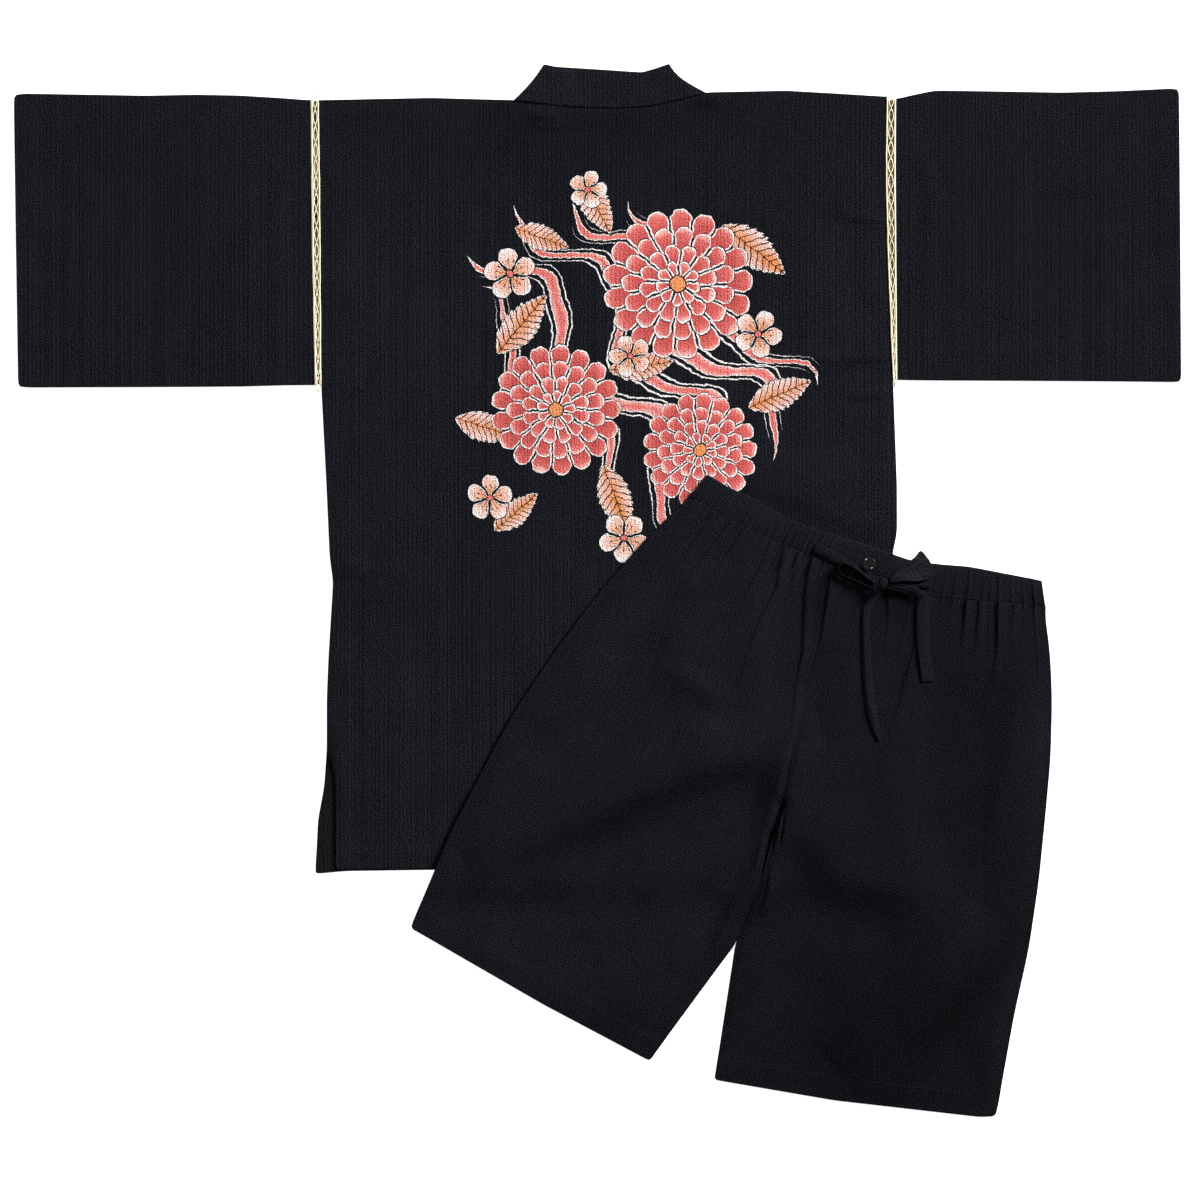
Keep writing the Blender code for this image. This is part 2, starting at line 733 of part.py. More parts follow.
def build_jacket(cloth, lace):
    jacket_front("left", 1, cloth, [])
    tie("tie_front", TIE_FRONT_ACROSS, cloth, [])
    tie("tie_side", TIE_SIDE_ACROSS, cloth, [])
    on_floor = ["jacket_front_left", "collar_front_left", "tie_front", "tie_side"]
    jacket_front("right", -1, cloth, on_floor)
    fronts = on_floor + ["jacket_front_right", "collar_front_right"]
    jacket_back(cloth, fronts)
    collar_back(cloth, fronts)
    sleeve("sleeve_left", -1, LEFT_SLEEVE, LEFT_TAPE, LEFT_CUFF, cloth)
    sleeve("sleeve_right", 1, RIGHT_SLEEVE, RIGHT_TAPE, RIGHT_CUFF, cloth)
    lace_tape("lace_tape_left", -1, "left", LEFT_SLEEVE, LEFT_TAPE, lace)
    lace_tape("lace_tape_right", 1, "right", RIGHT_SLEEVE, RIGHT_TAPE, lace)
    return fronts + ["jacket_back"]


def build_shorts(cloth, string, gloss, jacket):
    for side in LEG_SIGN:
        shorts_leg(side, cloth, jacket)
    waistband(cloth, jacket)
    shorts = ["shorts_front_left", "shorts_front_right", "waistband"]
    ribbon("drawstring_right", STRING_RIGHT, STRING_WIDTH, string, shorts)
    ribbon("drawstring_left", STRING_LEFT, STRING_WIDTH, string, shorts)
    ribbon("tail_right", TAIL_RIGHT, TAIL_WIDTH, string, shorts)
    ribbon("tail_left", TAIL_LEFT, TAIL_WIDTH, string, shorts + ["drawstring_left"])
    bow_knot(string, shorts)
    strings = shorts + ["drawstring_left", "drawstring_right", "tail_left", "tail_right"]
    standing_loop(string, strings)
    flat_loop(string, strings)
    button(gloss, shorts)


clear_scene()
EMPTIES = {JACKET: add_empty("jacket", JACKET), SHORTS: add_empty("shorts", SHORTS)}
crinkled_cotton = material("crinkled_cotton", NAVY, 0.95)
openwork_tape = material("openwork_tape", CREAM, 0.9)
string_cotton = material("string_cotton", NAVY_DARK, 0.95)
button_gloss = material("button_gloss", BLACK, 0.15)
jacket_pieces = build_jacket(crinkled_cotton, openwork_tape)
build_shorts(crinkled_cotton, string_cotton, button_gloss, jacket_pieces)
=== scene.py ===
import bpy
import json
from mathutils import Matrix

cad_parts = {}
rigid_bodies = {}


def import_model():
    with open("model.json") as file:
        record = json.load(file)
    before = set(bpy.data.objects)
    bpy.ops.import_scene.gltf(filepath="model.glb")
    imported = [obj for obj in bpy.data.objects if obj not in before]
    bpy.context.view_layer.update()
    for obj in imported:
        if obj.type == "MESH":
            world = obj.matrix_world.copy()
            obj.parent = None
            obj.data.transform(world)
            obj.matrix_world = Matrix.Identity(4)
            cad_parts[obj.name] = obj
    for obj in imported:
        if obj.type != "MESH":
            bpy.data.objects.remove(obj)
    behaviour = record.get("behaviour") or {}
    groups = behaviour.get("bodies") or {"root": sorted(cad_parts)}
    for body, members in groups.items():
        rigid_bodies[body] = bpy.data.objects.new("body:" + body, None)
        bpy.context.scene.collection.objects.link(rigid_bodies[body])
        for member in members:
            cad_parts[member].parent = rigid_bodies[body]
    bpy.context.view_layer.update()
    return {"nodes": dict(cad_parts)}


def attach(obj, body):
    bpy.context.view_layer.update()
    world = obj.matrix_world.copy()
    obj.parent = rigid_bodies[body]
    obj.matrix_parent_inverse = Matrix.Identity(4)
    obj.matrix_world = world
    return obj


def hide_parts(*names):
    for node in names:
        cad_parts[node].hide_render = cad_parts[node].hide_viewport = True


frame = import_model()
print("simple pieces:", len(frame["nodes"]))

# %% [markdown]
# ## The camera
# A camera straight above the table sees the cut of each garment without foreshortening. A long lens keeps
# the rise of the folds from leaning outwards at the sides. The distance follows from the lens: the view is
# as wide as the sensor is, times the distance over the focal length.
# %% Camera over the table
import math

import bpy

VIEW_WIDTH = 1.2
LENS = 240
SENSOR = 36
VIEW_CENTRE = (0.0024, -0.008)
FARTHEST_SEEN = 50


def put(name, data):
    """Adds an object to the scene for a mesh, a lamp or a camera."""
    made = bpy.data.objects.new(name, data)
    bpy.context.scene.collection.objects.link(made)
    return made


camera_data = bpy.data.cameras.new("overhead_camera")
camera_data.lens = LENS
camera_data.sensor_width = SENSOR
camera_data.clip_end = FARTHEST_SEEN
camera = put("overhead_camera", camera_data)
camera.location = (*VIEW_CENTRE, VIEW_WIDTH * LENS / SENSOR)
bpy.context.scene.camera = camera
print("camera height:", round(camera.location.z, 3), "m")

# %% [markdown]
# ## A sewing pattern as tables
# A garment is cut from flat cloth, so its cut is best written as a pattern maker writes it: short tables of
# distances, in millimetres, in the garment's own frame. On the jacket, across is counted from the centre
# line and down from the shoulder line. The shorts have their own frame, turned on the table. Everything is
# worked out in millimetres and made metres only when a mesh is made.
# %% Frames and table reading
from collections import namedtuple

import bmesh
import numpy as np
from mathutils import Matrix, Vector

MM = 0.001
Garment = namedtuple("Garment", "x y turn")
JACKET = Garment(x=10.4, y=492.5, turn=0.0)
SHORTS = Garment(x=274.9, y=63.7, turn=math.radians(-17.7))
Edge = namedtuple("Edge", "across down")
Side = namedtuple("Side", "down left right")


def rows(kind, *values):
    """A table whose rows are all of one kind."""
    return [kind(*row) for row in values]


def on_table(garment, across, down, height=0.0):
    """Points of a garment's cut, with their heights, as points over the table."""
    cos, sin = math.cos(garment.turn), math.sin(garment.turn)
    x = garment.x + across * cos + down * sin
    y = garment.y + across * sin - down * cos
    return np.stack([x, y, height + 0 * x], axis=-1)


def at(table, key, value, places, soft=6):
    """One column of a table, read at any places along another, with its corners rounded a little."""
    ordered = sorted(table, key=lambda row: getattr(row, key))
    keys = [getattr(row, key) for row in ordered]
    values = [getattr(row, value) for row in ordered]
    nudges = np.linspace(-soft, soft, 5) if soft else [0]
    return np.mean([np.interp(np.asarray(places) + nudge, keys, values) for nudge in nudges], axis=0)


def shares(length, step, rim=(0.7, 2.2)):
    """Shares from 0 to 1 about a step apart, with closer ones beside both ends for a crisp edge."""
    inner = np.linspace(rim[-1], length - rim[-1], max(2, round(length / step)))
    near = np.array([0, *rim[:-1]])
    return np.concatenate([near, inner, length - near[::-1]]) / length


print("shorts turned", round(math.degrees(SHORTS.turn), 1), "degrees")

# %% [markdown]
# ## A pile of cloths
# Cloth on cloth is the heart of this piece: the back lies on the fronts, and the shorts lie on the back.
# A simulation could drop one on another, but it would also let the outlines drift. A height map is surer.
# The table is divided into small squares, and each square remembers how high the pile stands. A new cloth
# takes its height from the map, spread out and averaged so that it eases over the edges below it and never
# cuts into them.
# %% The pile of cloths
GAP = 0.15


def denser(top, longest):
    """A cloth's grid of top points with more points between them, as a plain list."""
    for axis in (0, 1):
        steps = np.linalg.norm(np.diff(top, axis=axis), axis=-1).max()
        count = (top.shape[axis] - 1) * math.ceil(steps / longest) + 1
        place = np.linspace(0, top.shape[axis] - 1, count)
        low = place.astype(int).clip(max=top.shape[axis] - 2)
        share = (place - low).reshape((-1, 1, 1) if axis == 0 else (1, -1, 1))
        top = np.take(top, low, axis) * (1 - share) + np.take(top, low + 1, axis) * share
    return top.reshape(-1, 3)


class Pile:
    """How high the cloths laid so far stand over each small square of the table."""

    def __init__(self, low=(-610, -550), size=(1220, 1100), square=1.5):
        self.low = np.array(low)
        self.square = square
        self.top = np.zeros([int(side / square) for side in size])

    def lay(self, top):
        points = denser(top, self.square * 0.8)
        x, y = np.round((points[:, :2] - self.low) / self.square).astype(int).T
        np.maximum.at(self.top, (x, y), points[:, 2])

    def eased(self, reach):
        squares = math.ceil(reach / self.square)
        nudges = range(-squares - 1, squares + 2)
        eased = self.top
        for axis in (0, 1):
            eased = np.max([np.roll(eased, nudge, axis) for nudge in nudges], axis=0)
        for axis in (0, 1):
            eased = np.mean([np.roll(eased, nudge, axis) for nudge in nudges[1:-1]], axis=0)
        return eased

    def under(self, points, reach):
        """How high the underside of a new cloth lies at each point."""
        place = (points[..., :2] - self.low) / self.square
        x, y = np.moveaxis(np.floor(place).astype(int), -1, 0)
        part_x, part_y = np.moveaxis(place - np.floor(place), -1, 0)
        top = self.eased(reach)
        near = top[x, y] * (1 - part_x) + top[x + 1, y] * part_x
        far = top[x, y + 1] * (1 - part_x) + top[x + 1, y + 1] * part_x
        return near * (1 - part_y) + far * part_y + GAP


pile = Pile()
print("pile squares:", pile.top.shape)

# %% [markdown]
# ## From two grids of points to a cloth
# Every cloth here is a thin closed shell: a grid of points for its face, one for its underside, and a rim
# between them that bulges a little, as a turned hem does. A Solidify modifier gives much the same, but a
# shell made by hand keeps its points in step with the pattern, so that each point also knows its place in
# the cut. That place becomes a UV map named cut, in metres, and the weave follows it.
# %% Pieces
CLOTH = 0.9


def quads(first, second, third, fourth):
    return np.stack([np.ravel(corner) for corner in (first, second, third, fourth)], axis=1)


def add_piece(name, points, faces, cut, finish, replaced=()):
    """A mesh piece from points in millimetres, with its faces turned outwards and its place in the cut."""
    points = np.asarray(points, float)
    a, b, c = points[faces[:, 0]], points[faces[:, 1]], points[faces[:, 2]]
    d = points[faces[:, 3]]
    volume = np.einsum("ij,ij->", a, np.cross(b, c)) + np.einsum("ij,ij->", a, np.cross(c, d))
    if volume < 0:
        faces = faces[:, ::-1]
    mesh = bpy.data.meshes.new(name)
    mesh.from_pydata((points * MM).tolist(), [], faces.tolist())
    mesh.polygons.foreach_set("use_smooth", np.ones(len(faces), bool))
    corners = np.empty(len(mesh.loops), np.int32)
    mesh.loops.foreach_get("vertex_index", corners)
    layer = mesh.uv_layers.new(name="cut")
    layer.data.foreach_set("uv", (np.asarray(cut, float) * MM)[corners].ravel())
    mesh.materials.append(finish)
    mesh.validate()
    return settle(put(name, mesh), replaced)


def settle(piece, replaced):
    """Ties a finished piece to the set, and hides the simple pieces that it stands for."""
    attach(piece, "root")
    if replaced:
        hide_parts(*replaced)
    return piece


print("cloth thickness:", CLOTH, "mm")

# %% Shells of cloth
BULGE = 0.4


def rim_of(high, wide):
    """The grid places round a cloth's edge, in order."""
    down = [(row, 0) for row in range(high)]
    along = [(high - 1, column) for column in range(1, wide)]
    up = [(row, wide - 1) for row in range(high - 2, -1, -1)]
    back = [(0, column) for column in range(wide - 2, 0, -1)]
    return np.array(down + along + up + back)


def shell(name, top, low, cut, finish, replaced=(), slot="crinkled_cotton", bulge=BULGE):
    """A closed cloth from its face and its underside, with a rounded rim."""
    high, wide = top.shape[:2]
    index = np.arange(high * wide).reshape(high, wide)
    rim = rim_of(high, wide)
    edge = index[rim[:, 0], rim[:, 1]]
    inner = index[rim[:, 0].clip(1, high - 2), rim[:, 1].clip(1, wide - 2)]
    tops, lows = top.reshape(-1, 3), low.reshape(-1, 3)
    outwards = tops[edge] - tops[inner]
    outwards /= np.linalg.norm(outwards, axis=1)[:, None]
    thick = np.linalg.norm(tops[edge] - lows[edge], axis=1)[:, None]
    middle = (tops[edge] + lows[edge]) / 2 + outwards * thick * bulge
    under = index + high * wide
    ring = np.arange(len(rim)) + 2 * high * wide
    after = np.roll(ring, -1)
    edge_after = np.roll(edge, -1)
    faces = np.concatenate([
        quads(index[:-1, :-1], index[1:, :-1], index[1:, 1:], index[:-1, 1:]),
        quads(under[:-1, :-1], under[:-1, 1:], under[1:, 1:], under[1:, :-1]),
        quads(edge, ring, after, edge_after),
        quads(ring, edge + high * wide, edge_after + high * wide, after),
    ])
    points = np.concatenate([tops, lows, middle])
    cuts = cut.reshape(-1, 2)
    return add_piece(name, points, faces, np.concatenate([cuts, cuts, cuts[edge]]), finish, replaced)


print("a rim bulges by", BULGE, "of its thickness")

# %% Tubes of cloth
FOLD = 0.9
FOLD_ANGLES = (-50, 0, 50)
INNER_FOLD = 0.15
Laid = namedtuple("Laid", "piece across down top layers")
CLOTHS = {}


def fold_turn(lower, upper, end, beside, reach):
    """The points that round a tube's fold, between its two layers."""
    out = lower[:, end, :2] - lower[:, beside, :2]
    out /= np.linalg.norm(out, axis=1)[:, None]
    middle = (lower[:, end, 2] + upper[:, end, 2]) / 2
    half = (upper[:, end, 2] - lower[:, end, 2]) / 2
    arc = []
    for angle in np.radians(FOLD_ANGLES):
        away = out * reach * math.cos(angle)
        lift = half * math.sin(angle)
        arc.append(np.column_stack([lower[:, end, :2] + away, middle + lift]))
    return np.stack(arc, axis=1)


def tube(name, garment, across, down, low, high, wall, finish, replaced):
    """A flattened tube of cloth, open at both ends. Each row of points runs from fold to fold."""
    line = on_table(garment, across, down)[..., :2]
    layers = []
    for depth in (0.0, wall):
        ends = line.copy()
        for end, beside in ((0, 1), (-1, -2)):
            inwards = line[:, beside] - line[:, end]
            ends[:, end] += inwards / np.linalg.norm(inwards, axis=1)[:, None] * depth * 0.6
        lower = np.dstack([ends, low + depth])
        upper = np.dstack([ends, high - depth])
        reach = max(FOLD - depth * 0.8, INNER_FOLD)
        last = fold_turn(lower, upper, -1, -2, reach)
        first = fold_turn(lower, upper, 0, 1, reach)
        layers.append(np.concatenate([lower, last, upper[:, ::-1], first[:, ::-1]], axis=1))
    along, around = layers[0].shape[:2]
    index = np.arange(2 * along * around).reshape(2, along, around)
    after = np.roll(index, -1, axis=2)
    faces = [
        quads(index[0, :-1], index[0, 1:], after[0, 1:], after[0, :-1]),
        quads(index[1, :-1], after[1, :-1], after[1, 1:], index[1, 1:]),
        quads(index[0, 0], after[0, 0], after[1, 0], index[1, 0]),
        quads(index[0, -1], index[1, -1], after[1, -1], after[0, -1]),
    ]
    cut = np.dstack([across, down])
    last, first = [np.repeat(cut[:, [end]], len(FOLD_ANGLES), axis=1) for end in (-1, 0)]
    cuts = np.concatenate([cut, last, cut[:, ::-1], first], axis=1).reshape(-1, 2)
    points = np.concatenate([layer.reshape(-1, 3) for layer in layers])
    top = on_table(garment, across, down, high)
    pile.lay(top)
    piece = add_piece(name, points, np.concatenate(faces), np.concatenate([cuts, cuts]), finish, replaced)
    CLOTHS[name] = Laid(piece, across, down, top, 2)


print("a fold turns in", len(FOLD_ANGLES), "steps")

# %% [markdown]
# ## Creases placed one by one
# Laid cloth is never quite flat. Each crease is a row of a table: how high its ridge stands or how deep its
# trough is, how wide it is on either side, where it runs, and whether it starts at full strength, as a pleat
# does at a seam, or fades in. A bell curve over the distance from that line gives it a soft section. Slow
# waves, sums of a few sines with fixed random directions, keep the rest from looking ironed.
# %% Creases and waves
Crease = namedtuple("Crease", "lift wide_left wide_right route from_seam", defaults=[False])


def crease_relief(across, down, creases):
    """How far the creases lift the cloth at each point of its cut."""
    relief = np.zeros_like(across)
    for crease in creases:
        nearest = np.full_like(across, 1e9)
        signed = np.zeros_like(across)
        share = np.zeros_like(across)
        count = len(crease.route) - 1
        for k, (first, last) in enumerate(zip(crease.route, crease.route[1:])):
            along = np.subtract(last, first)
            part = ((across - first[0]) * along[0] + (down - first[1]) * along[1]) / (along @ along)
            part = part.clip(0, 1)
            aside = across - first[0] - part * along[0]
            below = down - first[1] - part * along[1]
            distance = np.hypot(aside, below)
            closer = distance < nearest
            nearest = np.where(closer, distance, nearest)
            side = along[1] * aside - along[0] * below
            signed = np.where(closer, np.sign(side), signed)
            share = np.where(closer, (k + part) / count, share)
        width = np.where(signed < 0, crease.wide_left, crease.wide_right)
        fade = (1 - share) ** 0.8 if crease.from_seam else np.sin(np.pi * share).clip(min=0) ** 0.7
        relief += crease.lift * np.exp(-((nearest / width) ** 2)) * fade
    return relief


def waves(across, down, length, seed):
    """Slow uneven waves, about a length apart and mostly between -1 and 1."""
    draw = np.random.default_rng(seed)
    total = np.zeros_like(across)
    for _ in range(7):
        turn = draw.uniform(0, math.tau)
        pace = math.tau / (length * draw.uniform(0.7, 1.6))
        phase = draw.uniform(0, math.tau)
        total += np.sin((across * math.cos(turn) + down * math.sin(turn)) * pace + phase)
    return total / 3.5


def rolling(across, down, lift, *swells):
    """A lift with slow waves on it, each given by its length, its seed and its height."""
    for length, seed, height in swells:
        lift = lift + waves(across, down, length, seed) * height
    return lift


print("crease and wave helpers ready")

# %% [markdown]
# ## Writing a finish as sums
# A finish is a network of shader nodes. It reads better as a sum than as a list of links, so a small class
# wraps one output and gives it the usual signs, each of which adds a Math node. One method makes every
# other node from its type, its settings and what goes into its sockets.
# %% Wires
class Wire:
    """One output in a finish, which adds, multiplies and compares like a number."""

    def __init__(self, recipe, socket):
        self.recipe = recipe
        self.socket = socket

    def sum(self, operation, *others):
        return self.recipe.node("ShaderNodeMath", {"operation": operation}, dict(enumerate((self, *others))))

    def __add__(self, other):
        return self.sum("ADD", other)

    def __sub__(self, other):
        return self.sum("SUBTRACT", other)

    def __rsub__(self, other):
        return self * -1 + other

    def __mul__(self, other):
        return self.sum("MULTIPLY", other)

    def __truediv__(self, other):
        return self.sum("DIVIDE", other)

    def __pow__(self, other):
        return self.sum("POWER", other)

    def __lt__(self, other):
        return self.sum("LESS_THAN", other)

    def __gt__(self, other):
        return self.sum("GREATER_THAN", other)

    def __abs__(self):
        return self.sum("ABSOLUTE")

    __radd__ = __add__
    __rmul__ = __mul__

    def least(self, other):
        return self.sum("MINIMUM", other)

    def most(self, other):
        return self.sum("MAXIMUM", other)

    def between(self, low, high):
        return self.most(low).least(high)


print("signs that a wire knows:", sum(name.startswith("__") for name in vars(Wire)))

# %% Recipes
class Recipe:
    """A finish under construction."""

    def __init__(self, name, **constants):
        self.finish = bpy.data.materials.new(name)
        self.finish.use_nodes = True
        self.tree = self.finish.node_tree
        self.shader = self.tree.nodes["Principled BSDF"]
        self.give(**constants)

    def node(self, kind, settings=None, sockets=None, out=0):
        made = self.tree.nodes.new(kind)
        for name, value in (settings or {}).items():
            setattr(made, name, value)
        for name, value in (sockets or {}).items():
            self.feed(made.inputs[name], value)
        return Wire(self, made.outputs[out])

    def feed(self, socket, value):
        if isinstance(value, Wire):
            self.tree.links.new(socket, value.socket)
        else:
            socket.default_value = value

    def give(self, **sockets):
        """Gives the shader numbers and wires, and hands out the finish."""
        for name, value in sockets.items():
            self.feed(self.shader.inputs[name.replace("_", " ")], value)
        return self.finish

    def vector(self, operation, *values, out=0, **named):
        settings = {"operation": operation}
        return self.node("ShaderNodeVectorMath", settings, {**dict(enumerate(values)), **named}, out)

    def length(self, vector):
        return self.vector("LENGTH", vector, out=1)

    def cut(self):
        """A place in the cut, in millimetres."""
        place = self.node("ShaderNodeUVMap", {"uv_map": "cut"})
        return self.vector("SCALE", place, Scale=1 / MM)

    def solid(self):
        """A place in the piece itself, in millimetres."""
        place = self.node("ShaderNodeTexCoord", out=3)
        return self.vector("SCALE", place, Scale=1 / MM)

    def seen_from(self, place, middle, turn, size):
        """A place as seen from a spot on the cloth, which is turned and has a size of its own."""
        sockets = {
            "Vector": place,
            "Location": (*middle, 0),
            "Rotation": (0, 0, turn),
            "Scale": (*size, 1),
        }
        return self.node("ShaderNodeMapping", {"vector_type": "TEXTURE"}, sockets)

    def split(self, vector):
        parts = self.node("ShaderNodeSeparateXYZ", None, {0: vector})
        return [Wire(self, socket) for socket in parts.socket.node.outputs]

    def grain(self, vector, across, down, detail=2.0):
        """Noise whose grains are about that many millimetres across and down, around zero."""
        place = self.vector("MULTIPLY", vector, (1 / across, 1 / down, 1))
        sockets = {"Vector": place, "Scale": 1.0, "Detail": detail}
        return self.node("ShaderNodeTexNoise", {"noise_dimensions": "2D"}, sockets) - 0.5

    def blend(self, share, first, second):
        """The first colour where the share is 0, and the second where it is 1."""
        settings = {"data_type": "RGBA", "clamp_factor": True}
        return self.node("ShaderNodeMix", settings, {0: share, 6: first, 7: second}, out=2)

    def shade(self, colour, tone):
        """A colour made lighter or darker by a number."""
        return self.vector("SCALE", colour, Scale=tone)

    def bump(self, height, depth):
        return self.node("ShaderNodeBump", None, {"Distance": depth * MM, "Height": height})


print("finish helpers ready")

# %% [markdown]
# ## Crinkled cotton
# Jinbei cotton is woven with some warp threads slack and some tight, so it shrinks into fine lengthwise
# ribs with small puckers between them. It dries off the skin, and that is why summer wear is made of it.
# The ribs run down each panel, about four millimetres apart, and the colour is darker in the hollows. Three
# grains of noise and one wandering sine make both the colour and the relief, so they always agree. A short
# table adds painted shade and painted light: soft spots where the colour is darker, for shade along low
# folds and edges, or lighter, for where they catch the light. More than half of the light from so dark a
# cloth is its gloss, so the colour changes more than the tone in the table.
# %% Crinkled cotton
NAVY = (0.0045, 0.0049, 0.0071)
RIB_PITCH = 4.0
CRINKLE_DEPTH = 0.2
SHADE_PAINT_GAIN = 2.4
COTTON_GLOSS = 0.09
COOL_SHEEN = (0.82, 0.86, 1.0)
# A darker navy for the fronts: painted shade for where they lie under the back's edge.
SHADED_FRONT_NAVY = (0.0034, 0.0039, 0.0033)
JACKET_GRAIN = {"ribbed": 1.15, "fleck": 1.28}
GREEN_SHEEN = (0.84, 0.92, 0.82)
BLUE_SHEEN = (0.76, 0.81, 1.0)
STRING_INK = (0.0039, 0.0043, 0.0061)
SHORTS_GRAIN = {"ribbed": 0.6, "fleck": 1.3}


def crinkle(recipe, place, pitch=RIB_PITCH, ribbed=1.0, fleck=1.0):
    """The relief of the crinkle around 0, mostly from -2 to 2, at a place in the cut."""
    across = recipe.split(place)[0]
    wander = recipe.grain(place, 26, 700, 1.0)
    ribs = (across * (math.tau / pitch) + wander * 9).sum("SINE")
    lines = recipe.grain(place, 1.8, 420, 1.0)
    streaks = recipe.grain(place, 1.4, 5.5, 1.0)
    specks = recipe.grain(place, 1.05 * fleck, fleck, 1.0)
    return (ribs * (streaks + 0.8) * 0.5 + lines * 2.2 + streaks * 0.9) * ribbed + specks * 8.0


print("ribs every", RIB_PITCH, "mm")

# %% Painted shade and painted light
Fade = namedtuple("Fade", "start end width change")
# Painted shade and painted light on the back: darker spots below the collar, above the left vent, along the
# waistband's upper edge and beside creases, and one lighter spot low on the left.
BACK_PAINTED_SHADE = rows(
    Fade,
    ((-240, 36), (240, 36), 70, -0.16), ((-84, 24), (30, 28), 13, -0.14), ((82, 6), (116, 10), 8, -0.34),
    ((-281, 640), (-276, 700), 8, -0.34), ((-262, 496), (-170, 512), 20, -0.12),
    ((-235, 560), (-150, 640), 26, 0.08), ((70, 366), (244, 430), 10, -0.28),
    ((196, 106), (262, 124), 12, -0.12), ((212, 264), (268, 262), 9, -0.16),
)
# Painted shade on the sleeves and bands: broad, slightly darker spots.
SLEEVE_PAINTED_SHADE = rows(
    Fade,
    ((300, 100), (560, 110), 150, -0.11), ((-560, 150), (-320, 150), 150, -0.06),
    ((-590, 40), (-430, 46), 60, -0.08), ((562, 50), (580, 200), 44, -0.07),
)
# Painted shade and painted light on the shorts: darker bands along the broad folds, under the bow and over
# the lower right leg, and lighter spots where folds face the lamp.
SHORTS_PAINTED_SHADE = rows(
    Fade,
    ((50, 484), (250, 456), 100, -0.34), ((70, 230), (270, 330), 140, -0.27),
    ((-190, 80), (-120, 440), 130, -0.1), ((-10, 262), (-110, 312), 21, -0.13),
    ((-100, 308), (-240, 425), 22, -0.15), ((0, 306), (76, 354), 18, -0.13),
    ((-142, 208), (-96, 216), 13, -0.1), ((-120, 246), (-50, 232), 17, 0.2),
    ((216, 470), (276, 316), 22, -0.24), ((-22, 430), (-40, 545), 15, -0.16),
    ((6, 400), (30, 560), 18, -0.12), ((-200, 150), (-225, 250), 22, 0.12),
    ((160, 300), (190, 370), 26, 0.16), ((20, 66), (66, 76), 17, -0.24), ((-42, 60), (-22, 110), 12, -0.2),
    ((-14, 100), (4, 190), 17, -0.12), ((170, 60), (190, 150), 24, -0.1),
    ((90, 44), (124, 178), 96, -0.22), ((-145, 552), (-50, 562), 34, -0.2),
    ((36, 552), (277, 515), 32, -0.17), ((-12, 348), (26, 416), 24, -0.15),
    ((-92, 148), (-54, 241), 18, -0.2), ((58, 205), (99, 287), 26, -0.14), ((3, 50), (104, 56), 20, -0.16),
    ((254, 458), (281, 512), 22, -0.2), ((86, 343), (154, 490), 24, 0.12),
)


def painted_shade(recipe, place, fades):
    """1 on most of the cloth, with soft long spots of painted shade and painted light in it, each lighter or
    darker by its change.
    """
    tone = 1
    for fade in fades:
        run = np.subtract(fade.end, fade.start)
        middle = np.add(fade.end, fade.start) / 2
        size = (math.hypot(*run) * 0.6, fade.width)
        far = recipe.length(recipe.seen_from(place, middle, math.atan2(run[1], run[0]), size))
        tone = ((far * far * -1).sum("EXPONENT") * fade.change + 1) * tone
    return tone


print("spots of painted light and shade:", len(BACK_PAINTED_SHADE) + len(SLEEVE_PAINTED_SHADE) + len(SHORTS_PAINTED_SHADE))

# %% The cottons
def cotton(name, colour, contrast=0.52, fades=(), sheen=COOL_SHEEN, **grain):
    """A recipe for cotton, with a place in its cut, its relief, its dyed colour with any painted shade and
    light, and its roughness.
    """
    recipe = Recipe(name, IOR=1.45, Specular_IOR_Level=COTTON_GLOSS, Specular_Tint=(*sheen, 1))
    place = recipe.cut()
    relief = crinkle(recipe, place, **grain)
    slow = recipe.grain(place, 30, 38, 2.0)
    tone = relief * contrast + slow * 0.8 + 1.0
    # Painted shade and painted light: each spot makes the colour darker or lighter.
    if fades:
        spots = painted_shade(recipe, place, fades)
        tone = tone * ((spots - 1) * SHADE_PAINT_GAIN + 1).between(0.05, 2)
        relief = relief * spots.between(0.4, 1.2)
    rough = (0.6 - relief * 0.03 + slow * 0.06).between(0.4, 0.75)
    return recipe, place, relief, recipe.shade(colour, tone.between(0.04, 3.0)), rough


def plain_cotton(name, colour, *looks, **sizes):
    """Cotton with nothing printed on it."""
    recipe, _, relief, dyed_and_shaded, rough = cotton(name, colour, *looks, **sizes)
    return recipe.give(Base_Color=dyed_and_shaded, Roughness=rough, Normal=recipe.bump(relief, CRINKLE_DEPTH))


crinkled_cotton = plain_cotton("crinkled_cotton", NAVY, contrast=0.6, fades=SLEEVE_PAINTED_SHADE, **JACKET_GRAIN)
# The fronts take the darker navy as painted shade.
front_cotton = plain_cotton("front_cotton", SHADED_FRONT_NAVY, sheen=GREEN_SHEEN, **JACKET_GRAIN)
shorts_cotton = plain_cotton("shorts_cotton", NAVY, 0.3, SHORTS_PAINTED_SHADE, BLUE_SHEEN, **SHORTS_GRAIN)
string_cotton = plain_cotton("string_cotton", STRING_INK, contrast=0.75, pitch=3.2)
print("cotton nodes:", len(crinkled_cotton.node_tree.nodes))

